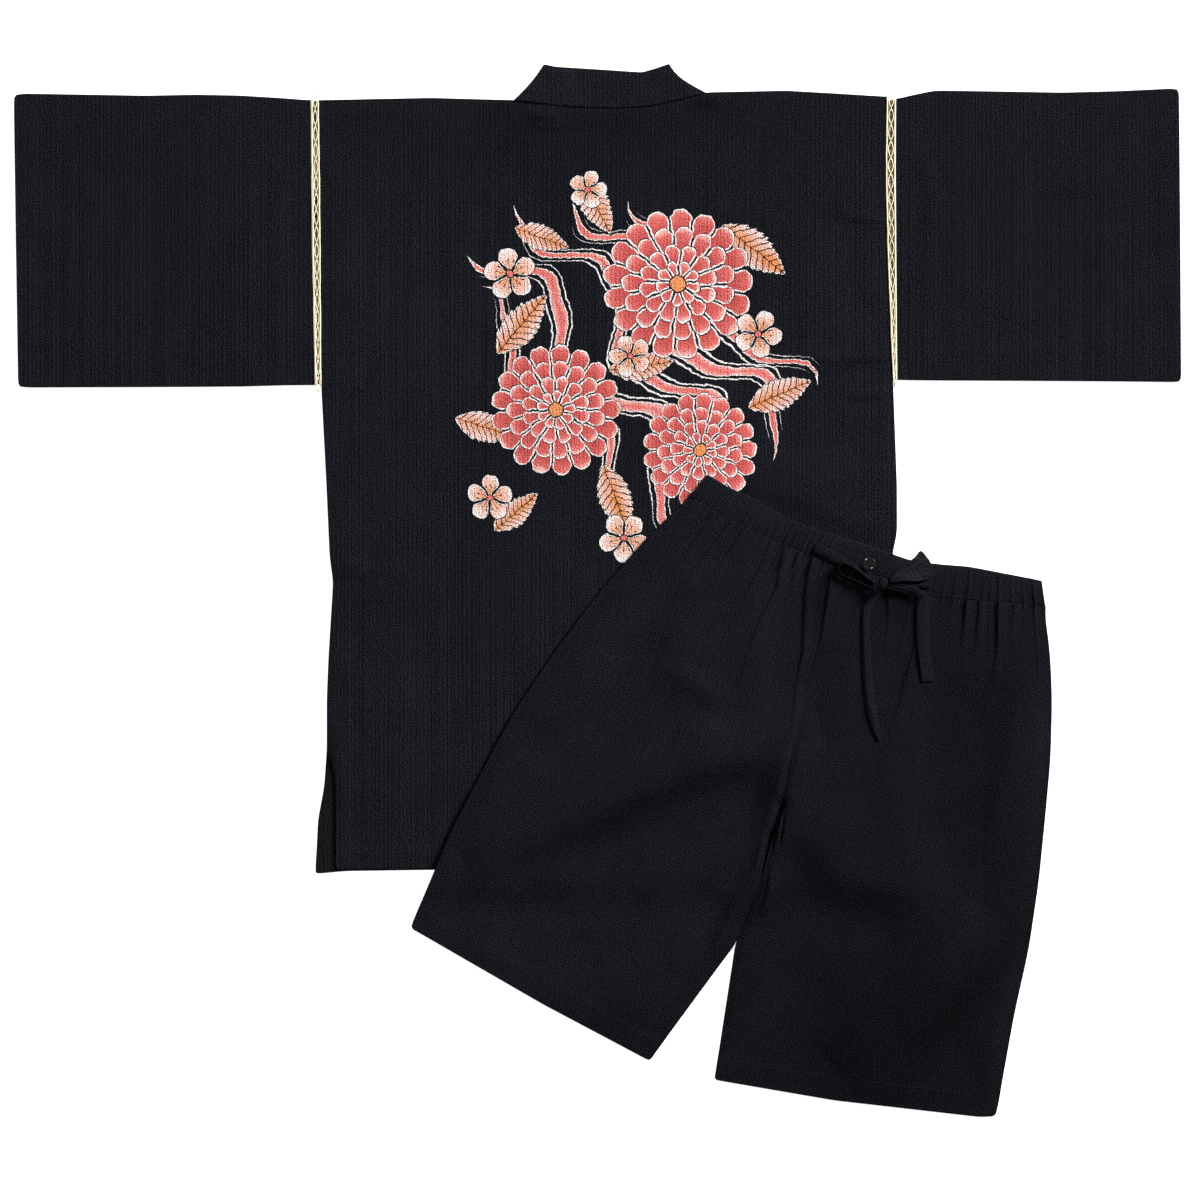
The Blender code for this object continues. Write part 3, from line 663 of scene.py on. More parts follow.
# %% [markdown]
# ## The printed back
# The back carries one large print, pressed on after weaving: chrysanthemums, plum blossoms and leaves on a
# running stream, all old stock patterns. A picture file would need a drawing program. Here each motif is a
# rule instead: how far its edge is from its middle at each angle. The distance to that edge gives the dark
# outline, the pale rim and the wash of colour towards the heart. A flower that is drawn many times is
# worked out once: each blossom in the table only says where its own middle, turn and size are.
# %% The motifs' places
Motif = namedtuple("Motif", "across down size turn")
Ring = namedtuple("Ring", "radius petals turn notch")
STREAMS = [
    (-118, 22, 0.0, 6.0), (-72, 26, 0.9, 8.5), (-20, 24, 1.6, 6.5), (38, 28, 2.6, 9.0), (84, 22, 3.4, 6.0),
]
LEAVES = rows(
    Motif,
    (-86, 226, 40, -50), (-12, 108, 34, 62), (146, 152, 42, 38), (172, 296, 36, -24), (8, 402, 38, 70),
    (-122, 330, 34, 18), (140, 420, 36, 52), (-92, 414, 30, -40), (34, 268, 34, -8), (-66, 140, 30, 20),
)
CHRYSANTHEMUMS = rows(Motif, (70, 186, 76, 8), (-52, 312, 66, 31), (92, 352, 58, 52))
PLUM_BLOSSOMS = rows(
    Motif,
    (-98, 176, 27, 10), (150, 236, 25, 44), (22, 258, 22, 70), (-118, 400, 24, 20), (16, 440, 26, 55),
    (-20, 92, 20, 33), (168, 440, 20, 5),
)
KIKU_RINGS = rows(
    Ring,
    (1, 17, 0, 0.15), (0.76, 15, 0.3, 0.17), (0.53, 12, 0.1, 0.2), (0.31, 9, 0.4, 0.24),
)
print("motifs:", len(LEAVES) + len(CHRYSANTHEMUMS) + len(PLUM_BLOSSOMS))

# %% The print's inks
CORAL = (0.72, 0.165, 0.145, 1)
DEEP_CORAL = (0.52, 0.085, 0.078, 1)
ORANGE = (0.74, 0.27, 0.10, 1)
BLUSH = (0.88, 0.60, 0.55, 1)
WHITE = (0.86, 0.83, 0.80, 1)
OUTLINE = (0.008, 0.007, 0.008, 1)
FAR_OFF = (9.0, 9.0, 0.0)
MOTIF_REACH = 1.06


class Print:
    """A print under way, drawn motif by motif on a place in the cut."""

    def __init__(self, recipe, place, wash):
        self.recipe = recipe
        self.place = place
        self.wash = wash
        self.colour = CORAL
        self.inked = wash * 0

    def lay(self, inside, ink):
        """Lays an ink over what is there, where it is inside."""
        self.colour = self.recipe.blend(inside, self.colour, ink)
        self.inked = self.inked.most(inside)

    def washed(self, share, first, second, depth=1.2):
        """A blend of two inks that runs unevenly, as wet ink does."""
        return self.recipe.blend(share + self.wash * depth, first, second)

    def outlined(self, ink, edge, line, rim):
        """An ink with a pale rim and a dark line round it."""
        rimmed = self.recipe.blend(edge < rim, ink, WHITE)
        return self.recipe.blend(edge < line, rimmed, OUTLINE)

    def nearest(self, motifs):
        """The place seen from the motif that it lies in, where that motif's edge is 1 from its middle."""
        local = FAR_OFF
        for motif in motifs:
            middle = (motif.across, motif.down)
            size = (motif.size, motif.size)
            own = self.recipe.seen_from(self.place, middle, math.radians(motif.turn), size)
            sockets = {0: self.recipe.length(own) < MOTIF_REACH, 4: local, 5: own}
            local = self.recipe.node("ShaderNodeMix", {"data_type": "VECTOR"}, sockets, out=1)
        return local

    def polar(self, motifs):
        """How far the place is from its motif's middle, and at what angle."""
        local = self.nearest(motifs)
        x, y, _ = self.recipe.split(local)
        return self.recipe.length(local), y.sum("ARCTAN2", x)

    def petals(self, radius, angle, ring, inner, inks, line, rim):
        """A ring of petals, each washed from its heart to its tip. It tells where they are."""
        petal = (angle * (ring.petals / math.tau) + ring.turn).sum("FRACT") - 0.5
        aside = abs(petal) * 2
        tip = (1 - aside**2.6 * ring.notch) * ring.radius
        side = (1 - aside) * radius * (math.pi / ring.petals)
        out = (radius - inner) / (ring.radius - inner)
        body = self.washed(out * 1.25 - 0.1, inks[0], inks[1], 0.9)
        body = self.washed((out - 0.62) * 2.2, body, inks[2], 1.6)
        inside = radius < tip
        self.lay(inside, self.outlined(body, (tip - radius).least(side), line, rim))
        return inside


print("inks ready")

# %% Streams and leaves
STREAM_MIDDLE = (22, 268)
STREAM_TURN = 52
STREAM_REACH = 215
SWING_LENGTH = 165
RIPPLE_LENGTH = 62
RIPPLE_DEPTH = 5
SPRAY_AWAY = 4.2
SPRAY_HALF = 1.1


def print_streams(art):
    """Bands of running water, with a pale line on either side, that thin out at their ends."""
    turned = art.recipe.seen_from(art.place, STREAM_MIDDLE, math.radians(STREAM_TURN), (1, 1))
    along, aside, _ = art.recipe.split(turned)
    for middle, swing, phase, width in STREAMS:
        reached = along / (STREAM_REACH - abs(middle) * 0.7)
        fade = (1 - reached * reached).between(0, 1)
        line = (along * (math.tau / SWING_LENGTH) + phase).sum("SINE") * swing
        ripple = (along * (math.tau / RIPPLE_LENGTH) + phase * 2).sum("SINE") * RIPPLE_DEPTH
        from_middle = abs(aside - line - ripple - middle)
        half = fade**0.6 * width
        edge = half - from_middle
        ink = art.washed(from_middle / width - 0.15, CORAL, BLUSH)
        art.lay(edge > 0, art.outlined(ink, edge, 0.7, 1.6))
        from_spray = abs(from_middle - half - SPRAY_AWAY)
        art.lay(SPRAY_HALF - from_spray - (1 - fade) * 1.4 > 0, WHITE)


def print_leaves(art):
    """Toothed leaves with a vein to each tooth."""
    x, y, _ = art.recipe.split(art.nearest(LEAVES))
    aside = abs(y)
    teeth = ((x - aside * 0.7) * 5.5).sum("FRACT")
    half = (1 - x * x).most(0) * 0.36 * (1.12 - x * 0.25) * (1 + teeth * 0.16)
    edge = half - aside
    vein = (abs(teeth - 0.5) * 0.12).least(aside)
    ink = art.outlined(art.washed(aside * 2.6 + 0.05, ORANGE, BLUSH), edge, 0.028, 0.055)
    art.lay(edge > 0, art.recipe.blend(vein < 0.011, ink, OUTLINE))


print("streams:", len(STREAMS), "leaves:", len(LEAVES))

# %% Flowers
KIKU_HEART = 0.12
PLUM_PETALS = Ring(1.0, 5, 0.0, 0.42)
PLUM_HEART = 0.165
STAMENS = 15
STAMEN_LENGTH = 0.5


def print_chrysanthemums(art):
    """Rings of petals, the outermost printed first, round a small heart."""
    radius, angle = art.polar(CHRYSANTHEMUMS)
    inners = [ring.radius for ring in KIKU_RINGS[1:]] + [KIKU_HEART]
    for ring, inner in zip(KIKU_RINGS, inners):
        art.petals(radius, angle, ring, inner, (DEEP_CORAL, CORAL, BLUSH), 0.013, 0.032)
    art.lay(radius < KIKU_HEART, art.recipe.blend(radius < 0.10, OUTLINE, ORANGE))


def print_plum_blossoms(art):
    """Five round petals, with a ring of stamens round the heart."""
    radius, angle = art.polar(PLUM_BLOSSOMS)
    inside = art.petals(radius, angle, PLUM_PETALS, 0.1, (ORANGE, BLUSH, WHITE), 0.045, 0.075)
    spoke = abs((angle * (STAMENS / math.tau)).sum("FRACT") - 0.5) * radius
    stamens = (spoke < 0.022) * (radius < STAMEN_LENGTH) * (radius > 0.17)
    tips = (spoke < 0.055) * (abs(radius - STAMEN_LENGTH) < 0.045)
    art.lay(stamens.most(tips) * inside, OUTLINE)
    art.lay(radius < PLUM_HEART, art.recipe.blend(radius < 0.12, OUTLINE, CORAL))


print("flowers:", len(CHRYSANTHEMUMS) + len(PLUM_BLOSSOMS))

# %% The printed cotton
WOBBLE = 3.2
WORN_BELOW = -1.7


def printed_cotton(name):
    """The cotton of the back, with each motif drawn over the one before and the ink worn off the hollows."""
    recipe, place, relief, dyed_and_shaded, rough = cotton(name, NAVY, contrast=0.6, fades=BACK_PAINTED_SHADE, **JACKET_GRAIN)
    sideways = recipe.grain(place, 9, 9, 2.0) * WOBBLE
    lengthways = recipe.grain(place, 7, 8, 1.0) * WOBBLE
    wobble = recipe.node("ShaderNodeCombineXYZ", None, {0: sideways, 1: lengthways})
    art = Print(recipe, recipe.vector("ADD", place, wobble), recipe.grain(place, 24, 30, 3.0))
    for draw_motif in (print_streams, print_leaves, print_chrysanthemums, print_plum_blossoms):
        draw_motif(art)
    woven = recipe.shade(art.colour, (relief * 0.06 + 1).between(0.6, 1.3))
    worn = art.inked * (1 - (relief < WORN_BELOW) * 0.5)
    finish = recipe.blend(worn, dyed_and_shaded, woven)
    normal = recipe.bump(relief, CRINKLE_DEPTH)
    return recipe.give(Base_Color=finish, Roughness=rough + art.inked * 0.15, Normal=normal)


printed_back = printed_cotton("printed_cotton")
print("print nodes:", len(printed_back.node_tree.nodes))

# %% [markdown]
# ## Tape, thread and button finishes
# The openwork tape is spun cotton, cream and soft, with the twist of its thread showing. A fine tan net
# behind
# its eyes is painted shade: a darker copy of the cream for the tape's lower layer in shadow, and its
# openings, too small to model, are dark spots in its colour for the shade and dark cloth seen through. The
# button is
# polished resin: almost black, and so smooth that it shows the lamps.
# %% Small finishes
def twisted_thread(name, light, dark, size):
    """Spun thread: fine slanting stripes of twist, with fuzz between them."""
    recipe = Recipe(name, Specular_IOR_Level=0.2)
    place = recipe.solid()
    x, y, z = recipe.split(place)
    twist = ((x * 1.3 + y + z * 0.8) * (math.tau / size)).sum("SINE")
    fuzz = recipe.grain(place, 0.5, 0.5, 2.0)
    slow = recipe.grain(place, 9, 14, 2.0)
    share = twist * 0.25 + fuzz * 1.6 + slow * 0.9 + 0.4
    colour = recipe.blend(share, (*light, 1), (*dark, 1))
    rough = (0.86 + fuzz * 0.2).between(0.6, 1)
    return recipe.give(Base_Color=colour, Roughness=rough, Normal=recipe.bump(twist * 0.5 + fuzz, 0.12))


def polished_resin(name, dark, light):
    """Polished resin: a faint swirl in its colour, and scuffs that only its gloss shows."""
    recipe = Recipe(name, IOR=1.52, Specular_IOR_Level=0.6, Coat_Roughness=0.05)
    place = recipe.solid()
    swirl = recipe.grain(place, 2.6, 1.4, 3.0)
    scuffs = recipe.grain(place, 0.35, 2.2, 2.0)
    colour = recipe.blend(swirl * 2 + 0.4, (*dark, 1), (*light, 1))
    rough = (0.13 + scuffs * 0.25).between(0.06, 0.4)
    return recipe.give(Base_Color=colour, Roughness=rough, Coat_Weight=0.25, Normal=recipe.bump(swirl, 0.02))


def shaded_net_ground(name):
    """The fine net behind the openwork, as painted shade: close tan loops darker than the cream thread, with
    dark openings of uneven size between them for the shade beneath.
    """
    recipe = Recipe(name, Specular_IOR_Level=0.1)
    place = recipe.cut()
    across, down = recipe.split(place)[:2]
    loops = (down * (math.tau / 2.9)).sum("SINE") * (across * (math.tau / 3.4)).sum("COSINE")
    holes = recipe.grain(place, 1.6, 2.6, 1.0) * 3 + recipe.grain(place, 12, 60, 1.0) * 2.4
    share = (loops * 0.5 + holes * 1.5 + 0.4).between(0, 1)
    colour = recipe.blend(share, (0.42, 0.34, 0.2, 1), (0.008, 0.008, 0.008, 1))
    return recipe.give(Base_Color=colour, Roughness=(0.9 - share * 0.1), Normal=recipe.bump(loops, 0.1))


# A tan darker than the thread, with dark openings: painted shade behind the tape.
shaded_net = shaded_net_ground("openwork_net")
cream_thread = twisted_thread("openwork_thread", (0.94, 0.87, 0.66), (0.68, 0.59, 0.38), 1.1)
navy_thread = twisted_thread("navy_thread", (0.009, 0.0095, 0.013), (0.005, 0.0055, 0.0075), 0.5)
button_resin = polished_resin("button_resin", (0.0028, 0.003, 0.0031), (0.0056, 0.006, 0.006))
print("small finishes ready")

# %% [markdown]
# ## The jacket's cut
# Body, shoulders, hems and vents as the pattern gives them. The side edges of the back pull in where the
# vents start, and the fronts show beside it there. One function makes the grid of any body panel from its
# two side edges, its shoulder and its hem, and another rounds a corner as a turned hem is rounded.
# %% Jacket tables
BODY_SIDES = rows(
    Side,
    (0, 289, 278.5), (70, 288, 277.4), (149, 287.2, 279), (244, 286.8, 282.8), (290, 286.2, 285),
    (386, 281.2, 288.5), (435, 279, 288.7), (457, 278, 284), (483, 274.5, 283),
    (562, 279.3, 286.5), (600, 280.8, 287), (652, 280.8, 287.4),
)
BACK_VENT = rows(Side, (672, 273.6, 282.6), (692, 272.2, 281.2), (770, 272.2, 281.2))
FRONT_VENT = rows(Side, (690, 283.5, 291.5), (722, 289.6, 297.6), (776, 292.2, 300.2))
SHOULDERS = rows(
    Edge,
    (-289, 2.5), (-177, 0.2), (-94, 2.5), (-42, 8.3), (8, 10), (41, 8.3), (79, 0), (98, -5.3),
    (178, -7), (223, -4.5), (279, -1),
)
BACK_HEM = rows(Edge, (-289, 771), (-170, 769.5), (289, 770))
FRONT_HEM = rows(Edge, (-300, 776), (-262, 772.5), (0, 769), (262, 772.5), (300, 776))
NECK_LEFT = -94
NECK_RIGHT = 98
SEAM = 0.5
print("back length:", BACK_VENT[-1].down, "mm")

# %% Panels from the tables
BODY_WIDTH = 580


def body_panel(sides, hem, left, right, step):
    """The grid of a body panel, between two side edges given as functions of down."""
    length = max(row.down for row in sides)
    downs = shares(length, step) * length
    across_share = shares(BODY_WIDTH, step)
    across = np.outer(left(downs), 1 - across_share) + np.outer(right(downs), across_share)
    top = at(SHOULDERS, "across", "down", across)
    bottom = at(hem, "across", "down", across)
    part = downs[:, None] / length
    return across, top * (1 - part) + bottom * part


def round_corner(across, down, row, column, radius):
    """Rounds one corner of a grid, given by its first or last row and column."""
    inwards = 1 if column == 0 else -2
    upwards = 1 if row == 0 else -2
    from_side = np.abs(across - across[:, [column]])
    from_hem = np.abs(down - down[[row]])
    beside = (from_side < radius) & (from_hem < radius)
    a, b = radius - from_side, radius - from_hem
    move = np.where(beside, 1 - np.maximum(a, b) / np.hypot(a, b).clip(min=1e-6), 0)
    side_way = np.sign(across[:, [inwards]] - across[:, [column]])
    hem_way = np.sign(down[[upwards]] - down[[row]])
    return across + side_way * a * move, down + hem_way * b * move


def edge_ease(across, down, width, edges="lrtb"):
    """0 at a cloth's edges, and 1 a width and more inside them."""
    ease = np.ones_like(across)
    for name, distance in (
        ("l", np.abs(across - across[:, :1])),
        ("r", np.abs(across - across[:, -1:])),
        ("t", np.abs(down - down[:1])),
        ("b", np.abs(down - down[-1:])),
    ):
        if name in edges:
            ease = ease * (1 - np.exp(-((distance / width) ** 2)))
    return ease


def step_up(distance, width, over=1.5):
    """1 near an edge, 0 further in than a width: the second ply of a hem."""
    return 1 / (1 + np.exp(((distance - width) / over * 2).clip(-30, 30)))


print("hems are rounded and stepped")

# %% Laying a cloth on the pile
REACH = 9


def lay_cloth(
    name, garment, across, down, relief, finish, replaced, reach=REACH, wall=CLOTH, plies=0, cut=None, **more
):
    """Lays a cloth on the pile, lifted by its relief, with any second plies on its face."""
    flat = on_table(garment, across, down)
    lift = np.zeros_like(flat)
    lift[..., 2] = pile.under(flat, reach) + np.maximum(relief, 0)
    low = flat + lift
    top = low.copy()
    top[..., 2] += wall + plies
    pile.lay(top)
    cut = np.dstack([across, down]) if cut is None else cut
    piece = shell(name, top, low, cut, finish, replaced, **more)
    CLOTHS[name] = Laid(piece, across, down, top, 1)
    return piece


print("a cloth eases over edges within", REACH, "mm")

# %% [markdown]
# ## The two fronts and the ties
# The fronts are almost hidden, but their side edges, hems and the band along the neck show at the rim of
# the set, so they are real panels too. The wearer's left front goes down first. A wrap jacket closes with
# ties, so one pair lies between the fronts.
# %% Fronts, neck bands and ties
Band = namedtuple("Band", "down sewn free free_down")
FRONT_BAND = rows(
    Band,
    (4, -90, -62, -29), (50, -66, -27, 28), (110, -36, 6, 93), (200, 2, 45, 184), (290, 38, 83, 279),
    (370, 62, 109, 364), (460, 74, 122, 458), (770, 80, 128, 770),
)
TIE_WIDTH = 20
TIE_DOWN = 402
TIES = {"tie_front": (116.9, 200), "tie_side": (204, 286)}
TURNED_PLY = 0.4
JACKET_HEM = 20
CORNER = 3


def lay_front(name, sign):
    """One front with its neck band. Sign is 1 where its side edge is on the left."""
    sides = BODY_SIDES + FRONT_VENT
    sewn = [Band(0, -91, 0, 0)] + FRONT_BAND
    across, down = body_panel(
        sides,
        FRONT_HEM,
        lambda places: -at(sides, "down", name, places),
        lambda places: at(sewn, "down", "sewn", places),
        7,
    )
    seam_down = down[:, -1]
    seam = across[:, -1] + SEAM
    width = at(FRONT_BAND, "down", "free", seam_down) - at(FRONT_BAND, "down", "sewn", seam_down)
    rise = at(FRONT_BAND, "down", "free_down", seam_down) - seam_down
    share = shares(50, 6)
    band_across = seam[:, None] + np.outer(width, share)
    band_down = seam_down[:, None] + np.outer(rise, share)
    across, down = round_corner(across, down, -1, 0, CORNER)
    panel_relief = rolling(across, down, 0.25, (90, 11 + sign, 0.3))
    hem = step_up(down[-1:] - down, JACKET_HEM) * TURNED_PLY
    pieces = [
        ("jacket_front_", across, down, panel_relief, hem, CLOTH),
        ("collar_front_", band_across, band_down, 0.1 + 0 * band_across, 0 * band_across, 1.3),
    ]
    for piece, x, y, relief, plies, wall in pieces:
        if sign < 0:
            x, y, relief, plies = -x[:, ::-1], y[:, ::-1], relief[:, ::-1], plies[:, ::-1]
        relief = relief.clip(0) * edge_ease(x, y, 9)
        more = {"wall": wall, "plies": plies}
        lay_cloth(piece + name + "_cloth", JACKET, x, y, relief, front_cotton, [piece + name], **more)


def lay_tie(name, start, end):
    along = start + shares(end - start, 4) * (end - start)
    aside = TIE_DOWN + (shares(TIE_WIDTH, 3) - 0.5) * TIE_WIDTH
    x, y = np.meshgrid(along, aside)
    relief = rolling(x, y, 0, (40, 5, 0.3)) * edge_ease(x, y, 4)
    lay_cloth(name + "_band", JACKET, x, y, relief, crinkled_cotton, [name], reach=4, wall=1.1)


lay_front("left", 1)
for tie, (start, end) in TIES.items():
    lay_tie(tie, start, end)
lay_front("right", -1)
print("highest point so far:", round(pile.top.max(), 1), "mm")

# %% [markdown]
# ## The back
# The largest panel, and the one that carries the print. Its creases are few and shallow: a short one under
# the collar, a pull at the left side and slow waves from folding. The hem and the vents have a second ply
# where they are turned in.
# %% Creases of the back
BACK_CREASES = rows(
    Crease,
    (2, 8, 1.9, [(-46, 18), (-62, 20), (-88, 16)]),
    (0.8, 5, 1.6, [(-30, 27), (-52, 30), (-78, 29)]),
    (1.2, 8, 2.4, [(-281, 447), (-262, 462), (-236, 470), (-205, 468)]),
    (1, 3, 9, [(-279, 478), (-255, 476), (-228, 486)]),
    (0.9, 16, 10, [(-262, 60), (-268, 170), (-262, 262)]),
    (0.9, 10, 16, [(262, 70), (258, 180), (264, 268)]),
    (1.1, 12, 5, [(270, 420), (238, 452), (196, 470)]),
    (0.7, 14, 9, [(-232, 560), (-236, 640), (-228, 740)]),
    (0.8, 20, 12, [(-140, 520), (-60, 560), (40, 575), (130, 560)]),
    (0.6, 12, 20, [(-205, 660), (-120, 690), (-30, 694)]),
    (1.7, 1.8, 8, [(228, 120), (252, 122), (282, 123)]),
    (2, 1.8, 9, [(196, 260), (222, 264), (250, 263), (284, 258)]),
    (1.5, 1.7, 7, [(203, 274), (226, 273), (250, 268)]),
    (1.8, 1.8, 8, [(240, 300), (262, 299), (286, 294)]),
    (1.4, 8, 1.8, [(-281, 625), (-276, 660), (-271, 706), (-270, 760)]),
)
print("creases on the back:", len(BACK_CREASES))

# %% The neck's cut
COLLAR_TOP = rows(Edge, (-64, -33.5), (-53, -31), (-12, -28.5), (34, -25.4), (50, -30), (61, -34))
NECK_CURVE = (2.2, 6.0)
NECK_HIGH = 34
VENT_HEM = 12
VENT_TOP = 655


def neck_grid():
    """The neck band's grid, from its fold to its seam. Its ends curve in to meet the shoulders."""
    share = shares(NECK_RIGHT - NECK_LEFT, 3)
    seam = NECK_LEFT + share * (NECK_RIGHT - NECK_LEFT)
    top = COLLAR_TOP[0].across + share * (COLLAR_TOP[-1].across - COLLAR_TOP[0].across)
    seam_down = at(SHOULDERS, "across", "down", seam) - SEAM * 0.4
    top_down = at(COLLAR_TOP, "across", "down", top, 3)
    part = shares(NECK_HIGH, 1.6)[:, None]
    pull = NECK_CURVE[0] * (1 - share) - NECK_CURVE[1] * share
    across = top * (1 - part) + seam * part + pull * np.sin(np.pi * part)
    down = top_down * (1 - part) + seam_down * part
    return across, down


neck_across, neck_down = neck_grid()
neck_low = pile.under(on_table(JACKET, neck_across, neck_down), REACH)
print("neck band points:", neck_across.size)

# %% Back panel
BACK_REACH = 14


def lay_back():
    """The back panel, with its creases and the second ply of its hem and vents."""
    sides = BODY_SIDES + BACK_VENT
    across, down = body_panel(
        sides,
        BACK_HEM,
        lambda places: -at(sides, "down", "left", places),
        lambda places: at(sides, "down", "right", places),
        3.2,
    )
    for column in (0, -1):
        across, down = round_corner(across, down, -1, column, CORNER)
    relief = rolling(across, down, 0.45, (170, 21, 0.35), (55, 22, 0.12))
    relief = relief.clip(0) + crease_relief(across, down, BACK_CREASES)
    relief = relief * edge_ease(across, down, 8)
    hem = step_up(down[-1:] - down, JACKET_HEM)
    from_side = np.minimum(across - across[:, :1], across[:, -1:] - across)
    plies = np.maximum(hem, step_up(from_side, VENT_HEM) * (down > VENT_TOP)) * TURNED_PLY
    grid = (JACKET, across, down, relief)
    return lay_cloth("jacket_back_cloth", *grid, printed_back, ["jacket_back"], BACK_REACH, plies=plies)


jacket_back = lay_back()
print("back faces:", len(jacket_back.data.polygons))

# %% [markdown]
# ## The neck band
# The band at the back of the neck is folded double and stiffened, so it is thicker than the panel, and its
# free edge is a fold. Two rows of topstitching sink into it just above the seam. Its height was read from
# the pile before the back was laid, because the two are sewn edge to edge.
# %% Neck band at the back
TOPSTITCH = (3.2, 7.4)
NECK_WALL = 1.7


def lay_neck_band():
    from_seam = neck_down[-1:] - neck_down
    groove = sum(np.exp(-(((from_seam - place) / 0.9) ** 2)) for place in TOPSTITCH) * 0.25
    relief = rolling(neck_across, neck_down * 2, 0.45, (60, 31, 0.2)) - groove
    relief *= edge_ease(neck_across, neck_down, 3, "lrt")
    top = on_table(JACKET, neck_across, neck_down, neck_low + NECK_WALL + relief)
    low = on_table(JACKET, neck_across, neck_down, neck_low)
    pile.lay(top)
    name = "collar_back_band"
    cut = np.dstack([neck_across, neck_down])
    piece = shell(name, top, low, cut, crinkled_cotton, ["collar_back"], bulge=0.2)
    CLOTHS[name] = Laid(piece, neck_across, neck_down, top, 1)


lay_neck_band()
print("neck band laid at", round(pile.top.max(), 1), "mm or lower")

# %% [markdown]
# ## The sleeves
# A jinbei sleeve is a straight tube, folded at the shoulder and sewn under the arm, so it lies as two
# layers that are joined at both long edges and open at the cuff. The upper layer swells a little away from
# the folds and carries a few long soft creases. The cuff is turned in, which the extra ply shows.
# %% Sleeves
Sleeve = namedtuple("Sleeve", "out top bottom swell")
LEFT_SLEEVE = rows(
    Sleeve,
    (295, 2.2, 287.2, 0), (324, 0, 287.4, 0.8), (367, -2.6, 288.6, 1.8), (410, -3.4, 289, 1.2),
    (461, -2.4, 289.2, 0.6), (523, -3.5, 289.4, 1.4), (584, -4.5, 289.6, 0.9), (592, -3, 288.6, 0.8),
)
RIGHT_SLEEVE = rows(
    Sleeve,
    (289, 1, 282, 0), (305, -2.9, 282.4, 0.6), (328, -7.6, 282.6, 1.5), (393, -6.6, 282.9, 1.9),
    (454, -5.5, 283.2, 0.8), (511, -7, 283.6, 1.3), (566, -9.6, 284.2, 1), (571, -8.6, 283.8, 0.9),
)
LEFT_TAPE = rows(Edge, (296.7, 2), (295.4, 149), (292.5, 288))
RIGHT_TAPE = rows(Edge, (287.6, 0), (287.2, 70), (287.8, 157), (288.4, 244), (288.9, 288))
LEFT_CUFF = rows(Edge, (593.8, 15), (591.9, 149), (589.8, 281))
RIGHT_CUFF = rows(Edge, (570.8, -7), (571.2, 27), (572.1, 135), (573, 278))
SLEEVE_DEEP = 290
SLEEVE_GAP = 0.4
CUFF_HEM = 22
LEFT_SLEEVE_CREASES = rows(
    Crease,
    (1.1, 12, 6, [(-310, 30), (-330, 110), (-322, 200)]),
    (0.9, 10, 18, [(-420, 12), (-405, 100), (-418, 190)]),
    (0.8, 18, 9, [(-545, 60), (-500, 120), (-470, 220)]),
    (0.7, 9, 9, [(-350, 262), (-430, 255), (-520, 268)]),
)
RIGHT_SLEEVE_CREASES = rows(
    Crease,
    (1.1, 6, 12, [(302, 30), (326, 105), (315, 205)]),
    (0.9, 16, 9, [(398, 8), (412, 95), (400, 200)]),
    (0.8, 9, 18, [(535, 40), (500, 130), (486, 230)]),
    (0.6, 9, 9, [(330, 258), (420, 250), (520, 262)]),
)


def lay_sleeve(name, sign, sections, tape, cuff, creases, seed):
    """A sleeve between its tape and its cuff. Its upper layer swells away from both folds."""
    start, end = sections[0].out, sections[-1].out
    outs = start + shares(end - start, 4.5) * (end - start)
    share = (outs - outs[0]) / (outs[-1] - outs[0])
    top = at(sections, "out", "top", outs) + FOLD
    bottom = at(sections, "out", "bottom", outs) - FOLD
    part = shares(SLEEVE_DEEP, 4.5)
    down = np.outer(top, 1 - part) + np.outer(bottom, part)
    inner = at(tape, "down", "across", down) + SEAM
    outer = at(cuff, "down", "across", down)
    across = sign * (inner * (1 - share[:, None]) + outer * share[:, None])
    for column in (0, -1):
        across, down = round_corner(across.T, down.T, column, -1, 4)
        across, down = across.T, down.T
    swell = np.outer(at(sections, "out", "swell", outs), np.sin(np.pi * part) ** 0.5)
    relief = crease_relief(across, down, creases)
    relief = rolling(across, down, relief, (110, seed, 0.35), (45, seed + 1, 0.1))
    hem = step_up(np.abs(across - across[-1:]), CUFF_HEM) * TURNED_PLY
    fold_ease = np.sin(np.pi * part).clip(0, 1) ** 0.5
    low = np.full_like(across, GAP)
    high = low + 2 * CLOTH + SLEEVE_GAP + swell + (relief * fold_ease).clip(-0.2) + hem
    tube(name + "_cloth", JACKET, across, down, low, high, CLOTH, crinkled_cotton, [name])


lay_sleeve("sleeve_left", -1, LEFT_SLEEVE, LEFT_TAPE, LEFT_CUFF, LEFT_SLEEVE_CREASES, 41)
lay_sleeve("sleeve_right", 1, RIGHT_SLEEVE, RIGHT_TAPE, RIGHT_CUFF, RIGHT_SLEEVE_CREASES, 51)
print("sleeves laid")

